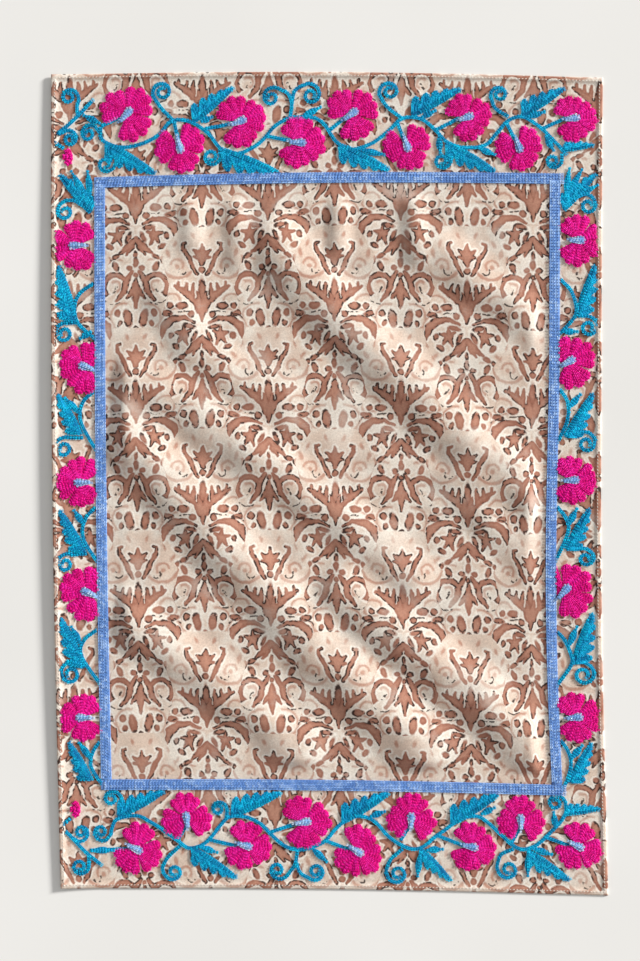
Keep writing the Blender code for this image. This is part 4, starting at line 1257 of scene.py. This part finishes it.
def smooth_path(points, step=GUIDE_STEP):
    """A Catmull-Rom curve through the points, in metres, with a point every step or so."""
    spots = np.asarray(points, float) * MM
    ends = np.concatenate([[spots[0] * 2 - spots[1]], spots, [spots[-1] * 2 - spots[-2]]])
    path = []
    for before, start, end, after in zip(ends, ends[1:], ends[2:], ends[3:]):
        count = max(1, round(float(np.hypot(*(end - start))) / step))
        for k in range(count):
            t = k / count
            path.append(0.5 * (2 * start + (end - before) * t + (2 * before - 5 * start + 4 * end - after) * t * t
                               + (3 * start - before - 3 * end + after) * t ** 3))
    return np.array(path + [spots[-1]])


def curl_path(curl):
    """A route that winds inwards round its middle; way is 1 to the left and -1 to the right."""
    route = smooth_path(curl.route)
    middle = np.asarray(curl.middle) * MM
    start = route[-1] - middle
    first_turn, first_radius = math.atan2(start[1], start[0]), math.hypot(*start)
    t = np.linspace(0, 1, 35)[1:]
    radius = curl.radius * MM * (1 - 0.66 * t)
    radius = radius + (first_radius - curl.radius * MM) * np.clip(1 - t * 3, 0, 1) ** 2
    turn = first_turn + curl.way * 2 * math.pi * CURL_TURNS * t
    spiral = middle + np.stack([radius * np.cos(turn), radius * np.sin(turn)], axis=-1)
    return np.concatenate([route, spiral])


def leaf_edge():
    """A leaf's outline as shares of its length: plain on one side, with lobes swept forward on the other."""
    edge = [(0.0, 0.02), (0.05, 0.07), (0.1, 0.14)]
    for end, share in LEAF_LOBES:
        w = LEAF_WIDTH * share
        edge += [(end - 0.10, w * 0.80), (end - 0.04, w * 0.97), (end, w), (end + 0.025, w * 0.92), (end + 0.02, w * 0.52)]
    edge += [(0.84, 0.085), (0.91, 0.06), (0.97, 0.035), (1.0, 0.0), (0.97, -0.02)]
    edge += [(0.8, -LEAF_BACK * 0.8), (0.6, -LEAF_BACK), (0.4, -LEAF_BACK), (0.2, -LEAF_BACK * 0.7), (0.05, -0.02)]
    return np.array(edge)


def leaf_spine(edge):
    """Where each point of the outline draws in to: back along its lobe to the middle rib."""
    t = np.clip(edge[:, 0] - 0.9 * np.clip(edge[:, 1], 0, 1), 0.02, 0.97)
    return np.stack([t, np.full(len(t), 0.025)], axis=-1)


def leaf_place(leaf, shares):
    foot, tip = np.asarray(leaf.foot) * MM, np.asarray(leaf.tip) * MM
    way = tip - foot
    side = np.array([-way[1], way[0]]) * leaf.side
    return foot + np.outer(shares[:, 0], way) + np.outer(shares[:, 1], side)


def fine_line(points, step=0.8 * MM):
    """Points of a line close together, for cutting."""
    run = np.concatenate([[0], np.cumsum(np.hypot(*np.diff(points, axis=0).T))])
    at = np.arange(0, run[-1], step)
    return np.stack([np.interp(at, run, points[:, 0]), np.interp(at, run, points[:, 1])], axis=-1), at / run[-1]


def add_leaf(bm, rows, leaf):
    edge = leaf_edge()
    outline, spine = leaf_place(leaf, edge), leaf_place(leaf, leaf_spine(edge))
    add_pad(bm, outline, spine, LEAF_UP)
    reach = np.hypot(*(outline - spine).T)
    for number, share in enumerate(LEAF_SHARES):
        ring = spine + (outline - spine) * share
        line, at = fine_line(ring)
        run = np.concatenate([[0], np.cumsum(np.hypot(*np.diff(ring, axis=0).T))])
        own_reach = np.interp(at, run / run[-1], reach)
        room = own_reach * (LEAF_SHARES[0] - LEAF_SHARES[1]) * (1 if number % 2 else 2)
        above = pad_height(share, LEAF_UP) - STITCH_SINK
        line = with_height(line, above)
        cut = np.flatnonzero(room < 0.95 * MM) if number else []
        for part in np.split(line, cut):
            if len(part) >= 4:
                rows += kept_parts(part[1:])


def add_small_leaf(bm, rows, foot, tip):
    foot, tip = np.asarray(foot) * MM, np.asarray(tip) * MM
    way = (tip - foot) * SMALL_LONGER
    side = np.array([-way[1], way[0]]) / math.hypot(*way)
    t = np.linspace(0, 1, 9)
    belly = SMALL_HALF * np.sin(math.pi * t ** 1.2)
    axis = foot + np.outer(t, way)
    outline = np.concatenate([axis - np.outer(belly, side), (axis + np.outer(belly, side))[-2:0:-1]])
    add_pad(bm, outline, np.concatenate([axis, axis[-2:0:-1]]), LEAF_UP)
    for share in (-0.62, 0.62):
        rows += kept_parts(with_height(axis + np.outer(belly * share, side), LEAF_UP * 0.75 - STITCH_SINK))
    rows += kept_parts(with_height(axis, LEAF_UP - STITCH_SINK))


def add_stem(bm, rows, path):
    for part in kept_parts(path):
        add_strip(bm, part, STEM_HALF, STEM_UP)
    for away in STEM_ROWS:
        rows += kept_parts(with_height(beside(path, away), STEM_UP * 0.9 - STITCH_SINK))


def longer(route):
    """A flower stem's route, run on to the foot of the heart."""
    (x0, y0), (x1, y1) = route[-2:]
    share = STUB_ADDED / math.hypot(x1 - x0, y1 - y0)
    return (*route, (x1 + (x1 - x0) * share, y1 + (y1 - y0) * share)) if len(route) == 2 else route

# %% Stitch the vine
SPRAY_COUNT = 6
for seed, side in enumerate(SIDES):
    pads, rows = new_pads(), []
    for path in [smooth_path(longer(route)) for route in VINES[side]] + [curl_path(curl) for curl in CURLS[side]]:
        add_stem(pads, rows, path)
    for leaf in LEAVES[side]:
        add_leaf(pads, rows, leaf)
    for foot, tip in SMALL_LEAVES[side]:
        add_small_leaf(pads, rows, foot, tip)
    stitches = stitched(f"vine_stitches_{side}", rows, threads["thread_turquoise"], seed=seed + 20)
    base = finish_pads(f"vine_pads_{side}", pads, threads["thread_turquoise"])
    piece = join(f"vine_rows_{side}", [stitches, base])
    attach(piece, "root")
    if side in ("top", "bottom"):
        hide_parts(f"vine_{side}", f"spray_{side}_corner")
    else:
        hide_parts(*[f"spray_{side}_{k + 1}" for k in range(SPRAY_COUNT)])
    embroidery.append(piece)
    print(piece.name, triangles(piece), "triangles")

# %% [markdown]
# ## The frame band
# The band is four long rows of chain side by side, all in one blue. The level lengths run through the
# corners, and the upright ones stop against them, as on the real towel. A thin strip lies under the rows.

# %% Stitch the band
BAND_ROWS = (-3.5 * MM, -1.17 * MM, 1.17 * MM, 3.5 * MM)
BAND_UP = 0.9 * MM
BAND_PITCH = 2.6 * MM
band_loop = loop_mesh("band_loop", BAND_PITCH, 2.35 * MM, 1.0 * MM)
half = BAND_WIDTH / 2
band_left, band_right = -WIDTH / 2 + BAND_FROM_LEFT, WIDTH / 2 - BAND_FROM_RIGHT
band_bottom, band_top = -LENGTH / 2 + BAND_FROM_BOTTOM, LENGTH / 2 - BAND_FROM_TOP
BAND_LENGTHS = {
    "top": ((band_left - half, band_top), (band_right + half, band_top)),
    "bottom": ((band_left - half, band_bottom), (band_right + half, band_bottom)),
    "left": ((band_left, band_bottom + half), (band_left, band_top - half)),
    "right": ((band_right, band_bottom + half), (band_right, band_top - half)),
}
for seed, (side, (start, end)) in enumerate(BAND_LENGTHS.items()):
    start, end = np.asarray(start), np.asarray(end)
    count = round(math.hypot(*(end - start)) / (4 * MM))
    path = start + np.outer(np.linspace(0, 1, count), end - start)
    pads = new_pads()
    add_strip(pads, path, half * 0.98, BAND_UP)
    rows = []
    for away in BAND_ROWS:
        line = beside(path, away)
        line[0] += (line[1] - line[0]) * draw.uniform(0, 0.6)
        rows.append(with_height(line, BAND_UP - STITCH_SINK))
    stitches = stitched(f"band_stitches_{side}", rows, threads["thread_blue"], pitch=BAND_PITCH, stitch=band_loop,
                        seed=seed + 30)
    base = finish_pads(f"band_pads_{side}", pads, threads["thread_blue"])
    piece = join(f"band_rows_{side}", [stitches, base])
    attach(piece, "root")
    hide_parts(f"band_{side}")
    embroidery.append(piece)
    print(piece.name, triangles(piece), "triangles")

# %% [markdown]
# ## The hem's stitches
# The hem is caught down with small slanting stitches in one pale thread, about 3 mm in from the edge. They are
# short round pegs set along the edge by the same tree.

# %% Stitch the hem
HEM_INSET = 3.1 * MM
HEM_PITCH = 2.9 * MM
HEM_UP = 0.82 * MM
CORNER_ROUND = 5 * MM


def peg_mesh(name, length, radius, slant):
    bm = bmesh.new()
    bmesh.ops.create_icosphere(bm, subdivisions=1, radius=1)
    for vert in bm.verts:
        vert.co = Vector((vert.co.x * length / 2, vert.co.y * radius + vert.co.x * slant, vert.co.z * radius * 0.7))
    mesh = bpy.data.meshes.new(name)
    bm.to_mesh(mesh)
    bm.free()
    mesh.shade_smooth()
    obj = bpy.data.objects.new(name, mesh)
    scene.collection.objects.link(obj)
    return obj


def plain_thread(name, colour):
    material, shader, start = new_material(name, 0.7)
    spot = start.node("ShaderNodeTexCoord", {}, {}, "Object")
    grain = start.node("ShaderNodeTexNoise", {}, {"Vector": spot, "Scale": 900.0, "Detail": 2.0})
    feed(grain.between(0.3, 0.7).mix([c * 0.8 for c in colour] + [1], [*colour, 1]), shader, "Base Color")
    return material


peg = peg_mesh("hem_peg", 2.0 * MM, 0.42 * MM, 0.3 * MM)
across, along = WIDTH / 2 - HEM_INSET, LENGTH / 2 - HEM_INSET
corners = ((-across, -along), (across, -along), (across, along), (-across, along), (-across, -along))
hem_line = np.concatenate([
    np.asarray(a) + np.outer(np.linspace(0, 1, 120), np.asarray(b) - np.asarray(a)) for a, b in zip(corners, corners[1:])
])
hem_line = np.column_stack([hem_line, np.full(len(hem_line), HEM_UP)])
hem_light = stitched("hem_stitches", [hem_line], plain_thread("hem_thread", (0.74, 0.70, 0.64)),
                     pitch=HEM_PITCH, stitch=peg, seed=51)
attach(hem_light, "root")
embroidery.append(hem_light)
print("hem stitches:", triangles(hem_light) // triangles(peg))

# %% [markdown]
# ## The table
# The towel lies on a plain pale board. It is only a stage, so it isn't part of the towel.

# %% The table
floor = new_mesh_object("table", [(-3, -3, 0), (3, -3, 0), (3, 3, 0), (-3, 3, 0)], [(0, 1, 2, 3)])
floor_material, floor_shader, start = new_material("table_paint", 0.6)
spot = start.node("ShaderNodeTexCoord", {}, {}, "Object")
cloudy = start.node("ShaderNodeTexNoise", {}, {"Vector": spot, "Scale": 2.2, "Detail": 3.0})
feed(cloudy.between(0.3, 0.7).mix((0.80, 0.80, 0.785, 1), (0.87, 0.87, 0.86, 1)), floor_shader, "Base Color")
floor.data.materials.append(floor_material)

# %% [markdown]
# ## Finish
# The helper stitches are removed, and the triangles of the dressed towel are counted.

# %% Finish
for helper in (loop, band_loop, peg):
    bpy.data.objects.remove(helper)
total = sum(triangles(piece) for piece in [cloth] + embroidery)
print("triangles in all:", total)
